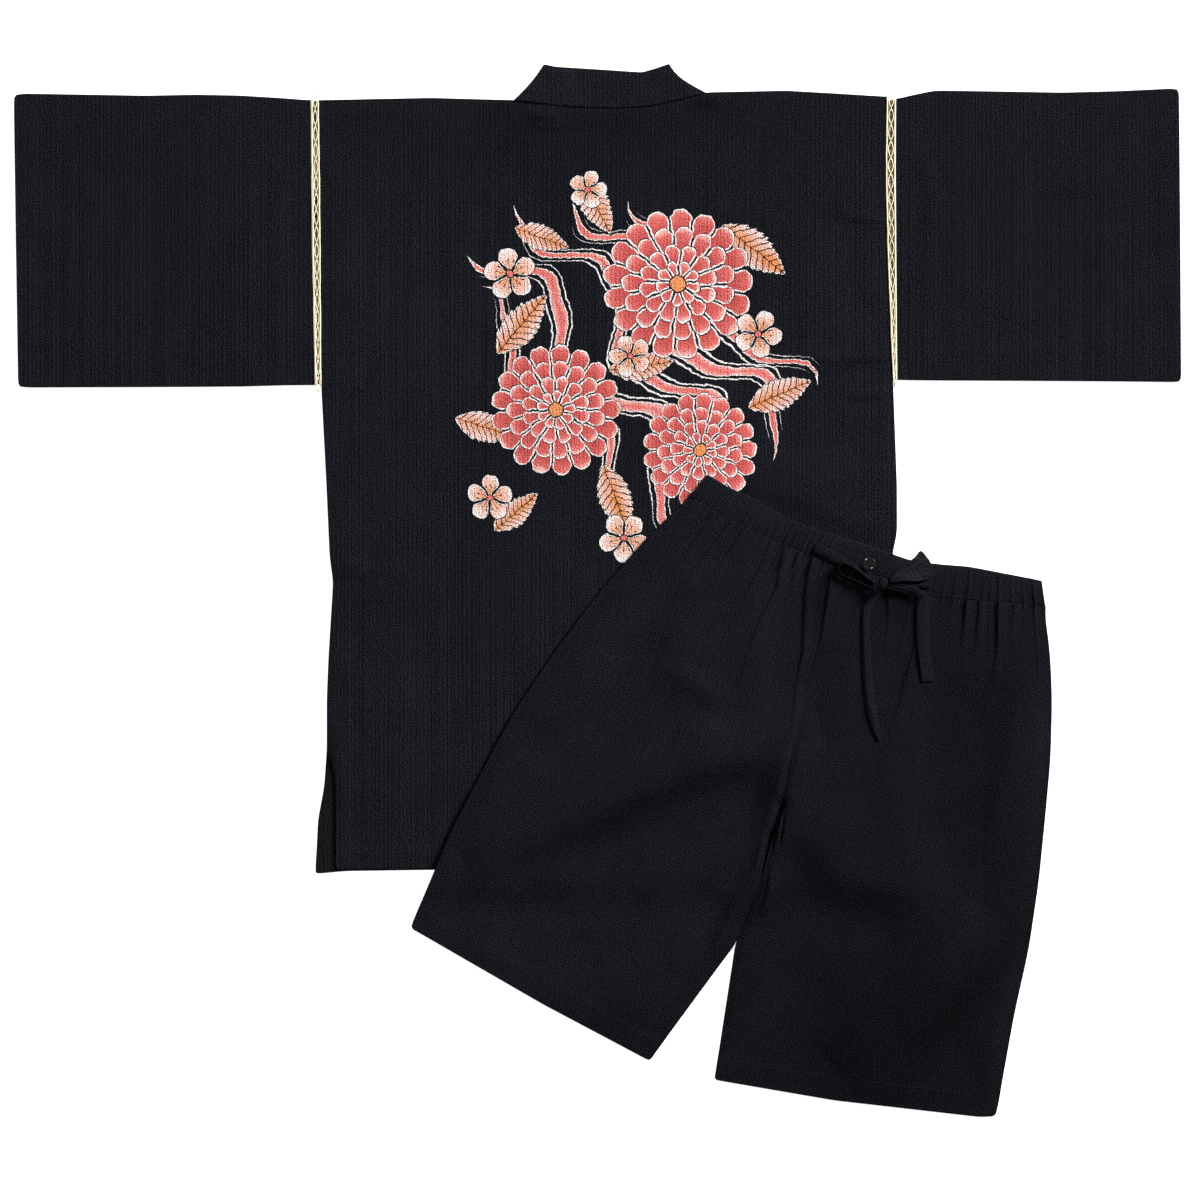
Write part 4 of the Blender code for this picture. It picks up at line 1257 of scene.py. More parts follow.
# %% [markdown]
# ## Geometry Nodes from a script
# Stitches and lattice repeat along a line, which is what Geometry Nodes do well. A tree is built once from
# a few sizes with names, and can then be used on any line. This helper makes a tree's sockets, adds nodes
# by type and links them, and another runs a tree on a line and keeps the result as a plain mesh.
# %% Node trees for what repeats
class Pattern:
    """A Geometry Nodes tree under construction."""

    def __init__(self, name, sizes):
        self.tree = bpy.data.node_groups.new(name, "GeometryNodeTree")
        self.sockets = {}
        new = self.tree.interface.new_socket
        new("Geometry", in_out="OUTPUT", socket_type="NodeSocketGeometry")
        new("Line", in_out="INPUT", socket_type="NodeSocketGeometry")
        for size in sizes:
            self.sockets[size] = new(size, in_out="INPUT", socket_type="NodeSocketFloat").identifier
        self.sockets["Finish"] = new("Finish", in_out="INPUT", socket_type="NodeSocketMaterial").identifier
        self.start = self.tree.nodes.new("NodeGroupInput")
        self.end = self.tree.nodes.new("NodeGroupOutput")

    def size(self, name):
        return self.start.outputs[name]

    def node(self, kind, settings=None, sockets=None, out=0):
        made = self.tree.nodes.new(kind)
        for name, value in (settings or {}).items():
            setattr(made, name, value)
        for name, value in (sockets or {}).items():
            if isinstance(value, bpy.types.NodeSocket):
                self.tree.links.new(made.inputs[name], value)
            else:
                made.inputs[name].default_value = value
        return made.outputs[out]

    def number(self, operation, *values):
        return self.node("ShaderNodeMath", {"operation": operation}, dict(enumerate(values)))

    def vector(self, x=0.0, y=0.0, z=0.0):
        return self.node("ShaderNodeCombineXYZ", None, {0: x, 1: y, 2: z})

    def finished(self, *parts):
        joined = self.node("GeometryNodeJoinGeometry")
        for part in parts:
            self.tree.links.new(joined.node.inputs[0], part)
        real = self.node("GeometryNodeRealizeInstances", None, {0: joined})
        smooth = self.node("GeometryNodeSetShadeSmooth", None, {0: real})
        sockets = {0: smooth, "Material": self.size("Finish")}
        self.tree.links.new(self.end.inputs[0], self.node("GeometryNodeSetMaterial", None, sockets))
        return self

    def ring(self, radius, corners):
        """The outline of a round cord."""
        sockets = {"Resolution": corners, "Radius": self.size(radius)}
        return self.node("GeometryNodeCurvePrimitiveCircle", None, sockets)

    def spaced(self, distance):
        """The line given, as points a distance apart."""
        line = self.node("GeometryNodeMeshToCurve", None, {0: self.size("Line")})
        sockets = {0: line, "Length": self.size(distance)}
        return self.node("GeometryNodeResampleCurve", {"mode": "LENGTH"}, sockets)

    def facing(self, axis):
        """The turn that lays an instance's axis along the line."""
        sockets = {"Vector": self.node("GeometryNodeInputTangent")}
        return self.node("FunctionNodeAlignRotationToVector", {"axis": axis}, sockets)

    def copies(self, points, shape, turn, scale):
        sockets = {0: points, "Instance": shape, "Rotation": turn, "Scale": scale}
        return self.node("GeometryNodeInstanceOnPoints", None, sockets)


print("a tree's nodes are made by type")

# %% Running a tree on a line
def line_object(name, lines, widths=None):
    """Open lines in millimetres as one mesh of edges, with a width kept at each point."""
    points, edges = [], []
    for line in lines:
        first = len(points)
        points += (np.asarray(line) * MM).tolist()
        edges += [(k, k + 1) for k in range(first, len(points) - 1)]
    mesh = bpy.data.meshes.new(name)
    mesh.from_pydata(points, edges, [])
    if widths is not None:
        kept = mesh.attributes.new("half_width", "FLOAT", "POINT")
        kept.data.foreach_set("value", (np.concatenate(widths) * MM).astype(np.float32))
    return put(name, mesh)


def plain_mesh(maker, name):
    """The mesh that an object's modifiers make. The object itself is removed."""
    graph = bpy.context.evaluated_depsgraph_get()
    mesh = bpy.data.meshes.new_from_object(maker.evaluated_get(graph))
    mesh.name = name
    bpy.data.objects.remove(maker)
    return mesh


def run_pattern(name, pattern, line, finish, sizes, replaced=()):
    """Runs a tree on a line and keeps its result as a plain mesh piece."""
    modifier = line.modifiers.new("pattern", "NODES")
    modifier.node_group = pattern.tree
    for size, value in sizes.items():
        modifier[pattern.sockets[size]] = value
    modifier[pattern.sockets["Finish"]] = finish
    mesh = plain_mesh(line, name)
    return settle(put(name, mesh), replaced)


print("a line becomes a mesh with the modifiers' work in it")

# %% [markdown]
# ## Openwork tape
# Each armhole is joined to its sleeve by a narrow openwork tape, so that air gets in. It is made on a
# machine: two cords at the edges, and between them two threads that cross, part into an eye, and cross
# again. The tree sets one such eye at every pitch along the tape, scaled to the width that the tape has
# there, and sweeps the edge cords round the whole flattened loop.
# %% The tape's tree
EYE = 16.0
EYE_STEPS = 9
EYE_SPREAD = 0.62
CROSSING = 0.3


def tape_pattern():
    """Two threads to every eye. Each bows out to its own side, and one crosses over the other."""
    tape = Pattern("openwork_tape", ["Eye length", "Thread radius"])
    half = tape.node("GeometryNodeInputNamedAttribute", {"data_type": "FLOAT"}, {"Name": "half_width"})
    spaced = tape.spaced("Eye length")
    facing = tape.facing("Y")
    ring = tape.ring("Thread radius", 6)
    threads = []
    for side in (-1, 1):
        own = tape.node("GeometryNodeCurvePrimitiveLine", None, {"Start": (0, -0.5, 0), "End": (0, 0.5, 0)})
        own = tape.node("GeometryNodeResampleCurve", {"mode": "COUNT"}, {0: own, "Count": EYE_STEPS})
        angle = tape.number("MULTIPLY", tape.node("GeometryNodeSplineParameter"), math.pi)
        aside = tape.number("MULTIPLY", tape.number("SINE", angle), side * EYE_SPREAD)
        hump = tape.number("MULTIPLY", tape.number("COSINE", angle), side * CROSSING * MM)
        bowed = tape.node("GeometryNodeSetPosition", None, {0: own, "Offset": tape.vector(aside)})
        eyes = tape.copies(spaced, bowed, facing, tape.vector(half, tape.size("Eye length"), 1))
        real = tape.node("GeometryNodeRealizeInstances", None, {0: eyes})
        lifted = tape.node("GeometryNodeSetPosition", None, {0: real, "Offset": tape.vector(z=hump)})
        threads.append(tape.node("GeometryNodeCurveToMesh", None, {0: lifted, 1: ring, "Fill Caps": True}))
    return tape.finished(*threads)


def cord_pattern():
    """A round cord swept along a line."""
    cord = Pattern("round_cord", ["Radius"])
    line = cord.node("GeometryNodeMeshToCurve", None, {0: cord.size("Line")})
    sockets = {0: line, 1: cord.ring("Radius", 8), "Fill Caps": True}
    return cord.finished(cord.node("GeometryNodeCurveToMesh", None, sockets))


TAPE_TREE = tape_pattern()
CORD_TREE = cord_pattern()
print("tape tree nodes:", len(TAPE_TREE.tree.nodes))

# %% The tapes
TAPE_CORD = 0.75
TAPE_THREAD = 0.5
NET_THICK = 0.4
TAPE_LOW = 0.8
TAPE_HIGH = 2.7
TAPE_TUCK = 0.35
TAPE_STEPS = 60


def edge_cord(across, down):
    """The route of an edge cord, along the upper layer, round the fold and back along the lower one."""
    loop = [on_table(JACKET, across, down, TAPE_HIGH)]
    turn = np.radians([60, 20, -20, -60])
    lift = (TAPE_HIGH + TAPE_LOW) / 2 + np.sin(turn) * (TAPE_HIGH - TAPE_LOW) / 2
    for end, way in ((-1, 1), (0, -1)):
        out = down[end] + way * np.cos(turn) * FOLD
        loop.append(on_table(JACKET, across[end] + 0 * turn, out, lift))
    under = on_table(JACKET, across, down, TAPE_LOW)[::-1]
    return np.concatenate([loop[0], loop[1], under, loop[2][::-1], loop[0][:1]])


def lay_tape(name, sign, side, sections, tape, seed):
    """Both layers of a tape round the armhole, and the cords that run round its edges."""
    part = np.linspace(0, 1, TAPE_STEPS)
    down = (sections[0].top + FOLD) * (1 - part) + (sections[0].bottom - FOLD) * part
    body = at(BODY_SIDES, "down", side, down) + SEAM
    sleeve = at(tape, "down", "across", down) - SEAM / 2
    middle = (body + sleeve) / 2
    half = (sleeve - body) / 2 + TAPE_TUCK - TAPE_CORD
    wobble = waves(down * 0, down, 22, seed) * 0.25
    slot = "openwork_tape"
    layers = [on_table(JACKET, sign * (middle + wobble * 0.5), down, high) for high in (TAPE_LOW, TAPE_HIGH)]
    line = line_object(name + "_line", layers, [half, half])
    sizes = {"Eye length": EYE * MM, "Thread radius": TAPE_THREAD * MM}
    lattice = run_pattern(name + "_lattice", TAPE_TREE, line, cream_thread, sizes, [name])
    cords = [edge_cord(sign * (middle + edge * half + wobble), down) for edge in (-1, 1)]
    line = line_object(name + "_edges", cords)
    edges = run_pattern(name + "_cords", CORD_TREE, line, cream_thread, {"Radius": TAPE_CORD * MM}, ())
    across = sign * middle[:, None] + np.array([-1, 0, 1]) * half[:, None]
    deep = down[:, None] + 0 * across
    net_high = (TAPE_HIGH + TAPE_LOW) / 2 + NET_THICK / 2
    faces = [on_table(JACKET, across, deep, height) for height in (net_high, net_high - NET_THICK)]
    net = shell(name + "_net", *faces, np.dstack([across, deep]), shaded_net, (), slot)
    return lattice, edges, net


left_tape = lay_tape("lace_tape_left", -1, "left", LEFT_SLEEVE, LEFT_TAPE, 61)
right_tape = lay_tape("lace_tape_right", 1, "right", RIGHT_SLEEVE, RIGHT_TAPE, 62)
print("lattice faces:", [len(piece.data.polygons) for piece in left_tape])

# %% [markdown]
# ## The shorts' cut
# Two legs, each with a back and a front cut alike, under a casing with elastic in it. The elastic gathers
# the tops of the fronts into many small ripples and a few long pleats. A pleat is steep on one side, where
# it folds over, and easy on the other, so its ridge has two widths.
# %% Shorts tables
WAIST_TOP = rows(
    Edge,
    (-175, 0), (-150, 6), (-115, 10), (-84, 18.5), (0, 19), (45, 20.5), (72, 16), (104, 8.5), (175, 0),
)
WAIST_SEAM = rows(Edge, (-182, 27), (-120, 39.6), (-67, 45.3), (0, 50), (79, 49.3), (111, 41), (187, 22.5))
CENTRE_SEAM_TOP = 50
OUTER_LEG = rows(
    Side,
    (25, 187, 182), (67, 207, 207), (110, 223, 226), (137, 231, 238), (168, 240, 249), (217, 251, 266),
    (287, 266, 286), (354, 277, 298), (420, 283, 309), (521, 296.5, 318),
)
INNER_LEG = rows(
    Side,
    (50, -10, -10), (161, -12, -12), (252, -8.4, -8.4), (288, -3.5, -3.5), (322, -4.2, -4.2),
    (366, 0.3, 0.3), (400, -1.5, -1.5), (438, -4, -4), (574, 17.5, -50),
)
LEG_HEM = rows(
    Edge,
    (-318, 522), (-169, 554.5), (-50, 576), (20, 574), (138, 557.5), (284, 528.6), (296.5, 523),
)
LEG_SIGN = {"left": 1, "right": -1}
CROTCH = 288
LEG_CREASES = rows(
    Crease,
    (2.2, 1.2, 8, [(-77.9, 49), (-72.4, 87), (-76.8, 113), (-80.5, 154), (-78.5, 204)], True),
    (1.7, 1.1, 6, [(-91.8, 48), (-95.3, 75), (-98, 95), (-104, 134)], True),
    (2.2, 1.4, 7, [(-48.2, 53), (-44.7, 78), (-27.5, 142), (-24.7, 171), (-17, 210), (-9, 252)], True),
    (2.1, 1.3, 6, [(-25.2, 57), (-22.8, 72), (-13.5, 128), (-13.5, 160), (-13.5, 190), (-9, 236)], True),
    (2.1, 1.8, 12, [(70, 60), (77, 100), (78, 135), (80, 165), (79, 200), (77, 240)], True),
    (1.4, 1.1, 6, [(34.2, 57), (43.1, 84), (50.3, 118)], True),
    (1.8, 1.1, 6, [(111.9, 41), (116, 60), (120, 90)], True),
    (1.6, 1.1, 6, [(124.3, 38), (132.4, 71), (136, 98)], True),
    (2.2, 1.2, 9, [(143.4, 34), (155.8, 79), (162, 126)], True),
    (1.6, 1.1, 5, [(158.1, 29), (166, 62)], True),
    (1.9, 1.2, 7, [(-134.6, 34), (-142.4, 55), (-157, 95), (-166, 146)], True),
    (1.7, 1.2, 6, [(-154.4, 33), (-166, 67), (-174, 116)], True),
    (1.9, 1.2, 6, [(-121, 37), (-127, 60), (-140, 106)], True),
    (1.7, 1.2, 5, [(-64, 50), (-58, 80), (-58, 118)], True),
    (9.5, 60, 22, [(8, 205), (-46, 247), (-110, 293), (-170, 346), (-229, 401), (-285, 445)]),
    (7, 34, 92, [(-14, 236), (6, 276), (34, 308), (80, 334), (140, 336), (215, 312)]),
    (3.6, 20, 34, [(186, 90), (204, 180), (214, 290)]),
    (3, 34, 18, [(-196, 120), (-220, 200), (-240, 300)]),
    (2.4, 2.6, 2.6, [(0, 290), (1.5, 312), (3.5, 340)]),
    (-3, 0.9, 0.9, [(2.5, 296), (5.2, 314), (8.2, 332)]),
    (2.4, 3.5, 3, [(-7, 312), (-8, 336), (-7, 364)]),
    (2.1, 2.6, 7, [(8, 356), (12, 378), (12, 406)]),
    (2, 8, 2.4, [(-11, 380), (-17, 415), (-24, 448)]),
    (4.2, 46, 30, [(-60, 400), (-52, 470), (-60, 548)]),
    (5, 20, 44, [(214, 330), (196, 400), (150, 470), (120, 520)]),
    (3.4, 26, 40, [(34, 130), (36, 220), (30, 300)]),
    (3.2, 26, 44, [(-150, 130), (-132, 200), (-110, 262)]),
    (2.2, 14, 9, [(-166, 196), (-124, 200), (-80, 216)]),
)


print("leg length:", LEG_HEM[2].down - CENTRE_SEAM_TOP, "mm")

# %% Leg panels
LEG_SIZE = (260, 500)


def crotch_gap(down):
    """Half the width of the slit that opens where the crotch seam folds away."""
    return np.interp(down, [316, 324, 330, 372], [0, 2.2, 2.0, 0])


def leg_panel(side, step_across, step_down, slit=0):
    """A leg from the waist seam to its hem. Its columns run from the crotch line to the side."""
    column, part = shares(LEG_SIZE[0], step_across), shares(LEG_SIZE[1], step_down)
    inner_down = INNER_LEG[0].down + (INNER_LEG[-1].down - INNER_LEG[0].down) * part
    outer_down = OUTER_LEG[0].down + (OUTER_LEG[-1].down - OUTER_LEG[0].down) * part
    inner = at(INNER_LEG, "down", side, inner_down)
    inner += LEG_SIGN[side] * (SEAM / 2 + slit * crotch_gap(inner_down))
    outer = at(OUTER_LEG, "down", side, outer_down, 14) * LEG_SIGN[side]
    across = np.outer(inner, 1 - column) + np.outer(outer, column)
    down = np.outer(inner_down, 1 - column) + np.outer(outer_down, column)
    seam = at(WAIST_SEAM, "across", "down", across[0]) + SEAM
    hem = at(LEG_HEM, "across", "down", across[-1])
    down += (seam - down[0]) * (1 - part[:, None]) + (hem - down[-1]) * part[:, None]
    for corner, radius in ((0, CORNER), (-1, CORNER + 0.5)):
        across, down = round_corner(across, down, -1, corner, radius)
    return across, down


print("leg points:", leg_panel("left", 7, 7)[0].size)

# %% Small gathers
Ripple = namedtuple("Ripple", "across height width length")
BOW_SIDE = 66
GATHERED = (-178.0, 182)


def small_gathers(seed):
    """Ripples at uneven places along the waist. They are low beside the bow, where the casing is flat."""
    draw = np.random.default_rng(seed)
    ripples = []
    place = GATHERED[0]
    while place < GATHERED[1]:
        flat = math.exp(-(((place - 18) / 52) ** 2)) * 0.65
        height = draw.uniform(0.4, 1.5) * (1 - flat)
        ripples.append(Ripple(place, height, draw.uniform(0.7, 1.1), draw.uniform(6, 44)))
        place += draw.uniform(4.0, 8.5) * (1.8 if place > BOW_SIDE else 1.15)
    return ripples


RIPPLES = small_gathers(7)


def ripple_lift(waist_across, fall):
    """How far the ripples lift a cloth, by the place of its thread at the waist and how far down it is."""
    lift = np.zeros(np.broadcast(waist_across, fall).shape)
    for ripple in RIPPLES:
        aside = waist_across - ripple.across
        bell = np.exp(-((aside / np.where(aside < 0, ripple.width, ripple.width * 1.9)) ** 2))
        lift += ripple.height * bell * np.exp(-np.abs(fall) / ripple.length)
    return lift


print("small gathers:", len(RIPPLES))

# %% [markdown]
# ## Legs
# The backs are laid first and stay plain, since only their edges show. The fronts take the pleats, the
# ripples and the slow waves. Between the legs the fronts ease down to the table, so that a valley opens
# below the crotch.
# %% Legs
FINE_STEP = 1.15
LEG_HEM_DEEP = 24
SHORTS_REACH = 12


def lay_leg(name, across, down, relief):
    hem = step_up(down[-1:] - down, LEG_HEM_DEEP) * TURNED_PLY
    lay_cloth(name + "_cloth", SHORTS, across, down, relief, shorts_cotton, [name], SHORTS_REACH, plies=hem)


def front_relief(across, down):
    """The pleats, gathers and waves of a front leg, with a valley along the seam below the crotch."""
    relief = rolling(across, down, 0.7, (150, 81, 0.5), (60, 82, 0.18))
    relief = relief.clip(0) + crease_relief(across, down, LEG_CREASES)
    relief = relief * edge_ease(across, down, 9, "rb")
    inner = np.abs(across - across[:, :1])
    valley = 1 - np.exp(-((inner / 5) ** 2))
    relief *= np.where(down > CROTCH, valley, 1 - (1 - valley) * 0.35)
    return relief + ripple_lift(across[:1], down - down[:1])


def lay_legs():
    for side in LEG_SIGN:
        across, down = leg_panel(side, 7, 7)
        relief = rolling(across, down, 0.2, (80, 71, 0.2)).clip(0) * edge_ease(across, down, 8)
        lay_leg("shorts_back_" + side, across, down, relief)
    for side in LEG_SIGN:
        across, down = leg_panel(side, FINE_STEP, 4.4, slit=1)
        lay_leg("shorts_front_" + side, across, down, front_relief(across, down))


WAIST_TAPER = 0.94
WAIST_DEEP = 30


def waist_grid():
    """The casing's grid, from its upper edge to the seam, and where each column meets the seam."""
    right, left = [leg_panel(side, FINE_STEP, 8)[0][0] for side in ("right", "left")]
    seam = np.concatenate([right[::-1], left[1:]])
    seam[0] += FOLD
    seam[-1] -= FOLD
    part = shares(WAIST_DEEP, 1.5)[:, None]
    across = seam * (WAIST_TAPER * (1 - part) + part)
    top_down = at(WAIST_TOP, "across", "down", across[0])
    seam_down = at(WAIST_SEAM, "across", "down", across[-1]) + SEAM * 0.85
    return seam, part, across, top_down * (1 - part) + seam_down * part


waist_seam, waist_part, waist_across, waist_down = waist_grid()
waist_low = pile.under(on_table(SHORTS, waist_across, waist_down), SHORTS_REACH)
lay_legs()
print("legs stand at most", round(pile.top.max(), 1), "mm high")

# %% [markdown]
# ## Waistband
# The casing is a flattened tube with a wide elastic inside. The elastic rounds it out and draws it into
# ripples that go on into the legs. Its height was read from the pile before the legs were laid, because it
# lies beside them, not on them.
# %% Waistband
WAIST_WALL = 1.0
CASING_STITCH = 4.2


def lay_waistband():
    """The gathered casing, with a groove where its lower row of stitches draws it in."""
    puff = np.sin(np.pi * waist_part).clip(0) ** 0.5 * 1.1
    shown = 0.45 + 0.55 * np.sin(np.pi * (0.15 + waist_part * 0.7))
    ripples = ripple_lift(waist_seam[None, :], (1 - waist_part) * 12) * shown
    high = waist_low + 2 * WAIST_WALL + 0.5 + puff + ripples
    from_stitch = (1 - waist_part) * WAIST_DEEP - CASING_STITCH
    high -= np.exp(-((from_stitch / 0.8) ** 2)) * 0.3
    grid = (waist_across, waist_down, waist_low, high)
    tube("waistband_cloth", SHORTS, *grid, WAIST_WALL, shorts_cotton, ["waistband"])


lay_waistband()
print("waistband columns:", waist_across.shape[1])

# %% [markdown]
# ## Bands along a route
# The drawstring is a narrow tube of the same cotton, pressed flat. It shows from two places on the casing
# and is tied in a bow. Each length is a band laid along a route. The route is a list of points, and a
# smooth curve runs through them. A second list says how high each edge of the band stands off the cloth
# below, so that a tail can lie partly on its edge and catch the light.
# %% Bands
Route = namedtuple("Route", "across down")
Rise = namedtuple("Rise", "part left right")
STRING_WALL = 0.9
STRING_LINES = (-0.38, -0.13, 0.13, 0.38)
BAND_REACH = 3


def smooth(route, step):
    """Points a step apart on a smooth curve through a route's own points."""
    own = np.array(route, dtype=float)
    ends = np.vstack([2 * own[0] - own[1], own, 2 * own[-1] - own[-2]])
    points = [own[0]]
    for before, first, last, after in zip(ends, ends[1:], ends[2:], ends[3:]):
        count = max(1, round(np.linalg.norm(last - first) / step))
        for part in np.linspace(0, 1, count + 1)[1:]:
            bend = (last - before) * part + (2 * before - 5 * first + 4 * last - after) * part**2
            bend += (3 * first - before - 3 * last + after) * part**3
            points.append(first + bend / 2)
    return np.array(points)


def directions(points):
    along = np.gradient(points, axis=0)
    return along / np.linalg.norm(along, axis=1)[:, None]


def lay_band(name, route, widths, rises, crown=0.35):
    """A flat band of the drawstring. Its left edge is the viewer's left where the route runs down.

    It is highest at a third of its width, so that its left side falls steeply and its right side gently.
    """
    points = smooth(route, 1.8)
    along = directions(points)
    steps = np.linalg.norm(np.diff(points, axis=0), axis=1)
    run = np.concatenate([[0], np.cumsum(steps)])[:, None]
    part = run / run[-1]
    width = np.interp(part, *zip(*widths))
    side = shares(width.max(), 0.7, (0.35, 0.9))[None, :] - 0.5
    across = points[:, :1] - along[:, 1:] * side * width
    down = points[:, 1:] + along[:, :1] * side * width
    bend = np.where(side > 0.16, (0.5 - side) / 0.34, (0.5 + side) / 0.66)
    bend = np.sin(np.pi / 2 * bend)
    left, right = [at(rises, "part", edge, part, 0) for edge in ("left", "right")]
    relief = left * (0.5 + side) + right * (0.5 - side) + crown * np.sin(np.pi * part) ** 0.4 * bend
    plies = -0.3 * np.abs(2 * side) ** 6
    plies = plies + sum(-0.32 * np.exp(-(((side - line) * width / 0.6) ** 2)) for line in STRING_LINES)
    cut = np.dstack([side * width, run + 0 * side])
    more = {"reach": BAND_REACH, "wall": STRING_WALL, "plies": plies, "cut": cut, "slot": "string_cotton"}
    lay_cloth(name + "_band", SHORTS, across, down, relief, string_cotton, [name], **more)


print("bands ready")

# %% Drawstring and tails
DRAWSTRING_RIGHT = rows(Route, (-49, 36.3), (-24, 41), (0, 47), (20.4, 51))
DRAWSTRING_LEFT = rows(Route, (71, 35.5), (56, 40), (44, 43.5), (31.8, 46.5))
TAIL_RIGHT = rows(
    Route,
    (26, 58.6), (20.8, 72), (20.2, 86), (30.7, 118), (45.4, 156), (57, 179), (71.6, 202.4),
)
TAIL_RIGHT_WIDTHS = [(0, 7.6), (0.3, 8.2), (0.6, 9.4), (0.85, 9), (0.95, 6.6), (1, 2.6)]
TAIL_LEFT = rows(Route, (66.5, 46), (69.9, 54.5), (76, 74), (82.5, 92.5), (90.5, 110.9), (99.8, 130))
TAIL_RIGHT_RISES = rows(
    Rise,
    (0, 0.8, 0.8), (0.1, 0.3, 0.1), (0.62, 0.2, 0), (0.8, 0.9, 0), (0.93, 0.5, 0), (1, 0.1, 0),
)
TAIL_LEFT_RISES = rows(
    Rise,
    (0, 0.2, 0.2), (0.2, 0.1, 0.1), (0.5, 0.3, 0), (0.7, 1.2, 0), (0.85, 0.5, 0), (1, 0.1, 0),
)
STRING_RISES = rows(Rise, (0, 0, 0), (0.2, 0.3, 0.5), (0.8, 0.5, 0.9), (1, 0.8, 0.8))
TAIL_LEFT_WIDTHS = [(0, 9), (0.25, 12), (1, 12)]

lay_band("drawstring_right", DRAWSTRING_RIGHT, [(0, 9), (1, 9)], STRING_RISES)
lay_band("drawstring_left", DRAWSTRING_LEFT, [(0, 10), (1, 9)], STRING_RISES)
lay_band("tail_right", TAIL_RIGHT, TAIL_RIGHT_WIDTHS, TAIL_RIGHT_RISES, 1.2)
lay_band("tail_left", TAIL_LEFT, TAIL_LEFT_WIDTHS, TAIL_LEFT_RISES, 0.4)
print("tails laid, pile at most", round(pile.top.max(), 1), "mm")

# %% [markdown]
# ## The bow
# One loop of the bow stands open on its edge and leans inwards, so that it shows a bright strip on either
# side of a dark hollow. The other has fallen flat, with its lower edge still raised, and below it the short
# free end leaves the knot as a strip that folds over before it hangs. The knot is the same band wrapped once
# round all of it, which leaves two folds in it.
# %% Bow
Lean = namedtuple("Lean", "part lean rise")
Flap = namedtuple("Flap", "upper_across upper_down lower_across lower_down")
LOOP_WALL = 1.1
LOOP_RIGHT = rows(
    Route,
    (19.6, 60.5), (8, 60), (-4, 58.4), (-15, 58), (-20.5, 51), (-20, 42.6), (-10, 40.6), (1, 43.6),
    (12, 48.6), (19.6, 52),
)
LOOP_RIGHT_LEANS = rows(
    Lean,
    (0, 0.8, 3.4), (0.15, 2.8, 4.2), (0.36, 2.6, 4.4), (0.47, 1.2, 4.6), (0.58, 2.4, 4.8),
    (0.7, 3.4, 4.8), (0.88, 2.8, 4.2), (1, 0.8, 3.4),
)
LOOP_LEFT = rows(
    Flap,
    (31.8, 44.4, 32.6, 48), (40, 29.5, 45, 42.5), (49, 17.5, 60, 37.5), (53.6, 8.6, 70, 30.3),
    (63.5, 14, 70.8, 22),
)
TAIL_STRIP = rows(
    Flap,
    (30.6, 45.4, 32.1, 54.2), (42, 43.4, 40.5, 54.4), (53.8, 42, 50, 53.9), (63, 45.4, 61, 52.8),
    (69.6, 48.8, 70.3, 51.6),
)


print("loop points:", len(LOOP_RIGHT), "and", len(LOOP_LEFT))

# %% The loops
LOOP_STEP = 1.5
LOOP_REACH = 5
FLAP_WALL = 1.2


def stand_loop():
    """The loop that stands on its edge, as a wall that leans inwards along its route."""
    points = smooth(LOOP_RIGHT, LOOP_STEP)
    along = directions(points)
    inwards = np.column_stack([along[:, 1], -along[:, 0]])
    inwards *= np.sign(((points.mean(axis=0) - points) * inwards).sum())
    part = np.linspace(0, 1, len(points))
    lean, rise = [at(LOOP_RIGHT_LEANS, "part", way, part, 0)[:, None] for way in ("lean", "rise")]
    up = shares(7, 0.8, (0.3, 0.9))[None, :]
    base = pile.under(on_table(SHORTS, *points.T), LOOP_REACH)[:, None]
    faces = []
    for wall in (-LOOP_WALL / 2, LOOP_WALL / 2):
        away = lean * up**1.6 + wall
        across = points[:, :1] + inwards[:, :1] * away
        down = points[:, 1:] + inwards[:, 1:] * away
        faces.append(on_table(SHORTS, across, down, base + rise * up))
    run = np.arange(len(points))[:, None] * LOOP_STEP
    cut = np.dstack([up * 10 + 0 * run, run + 0 * up])
    pile.lay(faces[0])
    shell("bow_loop_right_band", *faces, cut, string_cotton, ["bow_loop_right"], "string_cotton")


def fold_loop(name, flaps, high, turned, raised, replaced=()):
    """A flattened stretch of the bow, given by its two edges. Its lower edge is raised a little."""
    points = smooth(flaps, 1.4)
    part = np.linspace(0, 1, len(points))[:, None]
    side = shares(16, 1.0, (0.4, 1.2))[None, :]
    across = points[:, :1] * (1 - side) + points[:, 2:3] * side
    down = points[:, 1:2] * (1 - side) + points[:, 3:] * side
    open_edge = np.sin(np.pi * (part * 0.8 + 0.12)) * side**2 * raised
    body = np.sin(np.pi * side) * np.sin(np.pi * part).clip(0) ** 0.5 * turned
    folds = np.cos((side - 0.35) * 22) * 0.5 * (1 - part * 0.6) * np.sin(np.pi * side)
    relief = high + open_edge + body + folds + (1 - part) * 0.8
    cut = np.dstack([side * 14 + 0 * part, part * 45 + 0 * side])
    more = {"reach": BAND_REACH, "wall": FLAP_WALL, "cut": cut, "slot": "string_cotton"}
    lay_cloth(name, SHORTS, across, down, relief, string_cotton, replaced, **more)


stand_loop()
fold_loop("tail_left_strip", TAIL_STRIP, 1.8, 0.8, 0.2)
fold_loop("bow_loop_left_band", LOOP_LEFT, 0.4, 0.8, 0.5, ["bow_loop_left"])
print("loops laid, pile at most", round(pile.top.max(), 1), "mm")

# %% The knot
KNOT = Route(26.8, 51.6)
KNOT_SIZE = (9.2, 12.4, 4.4)
KNOT_FOLDS = (-0.42, 0.3)


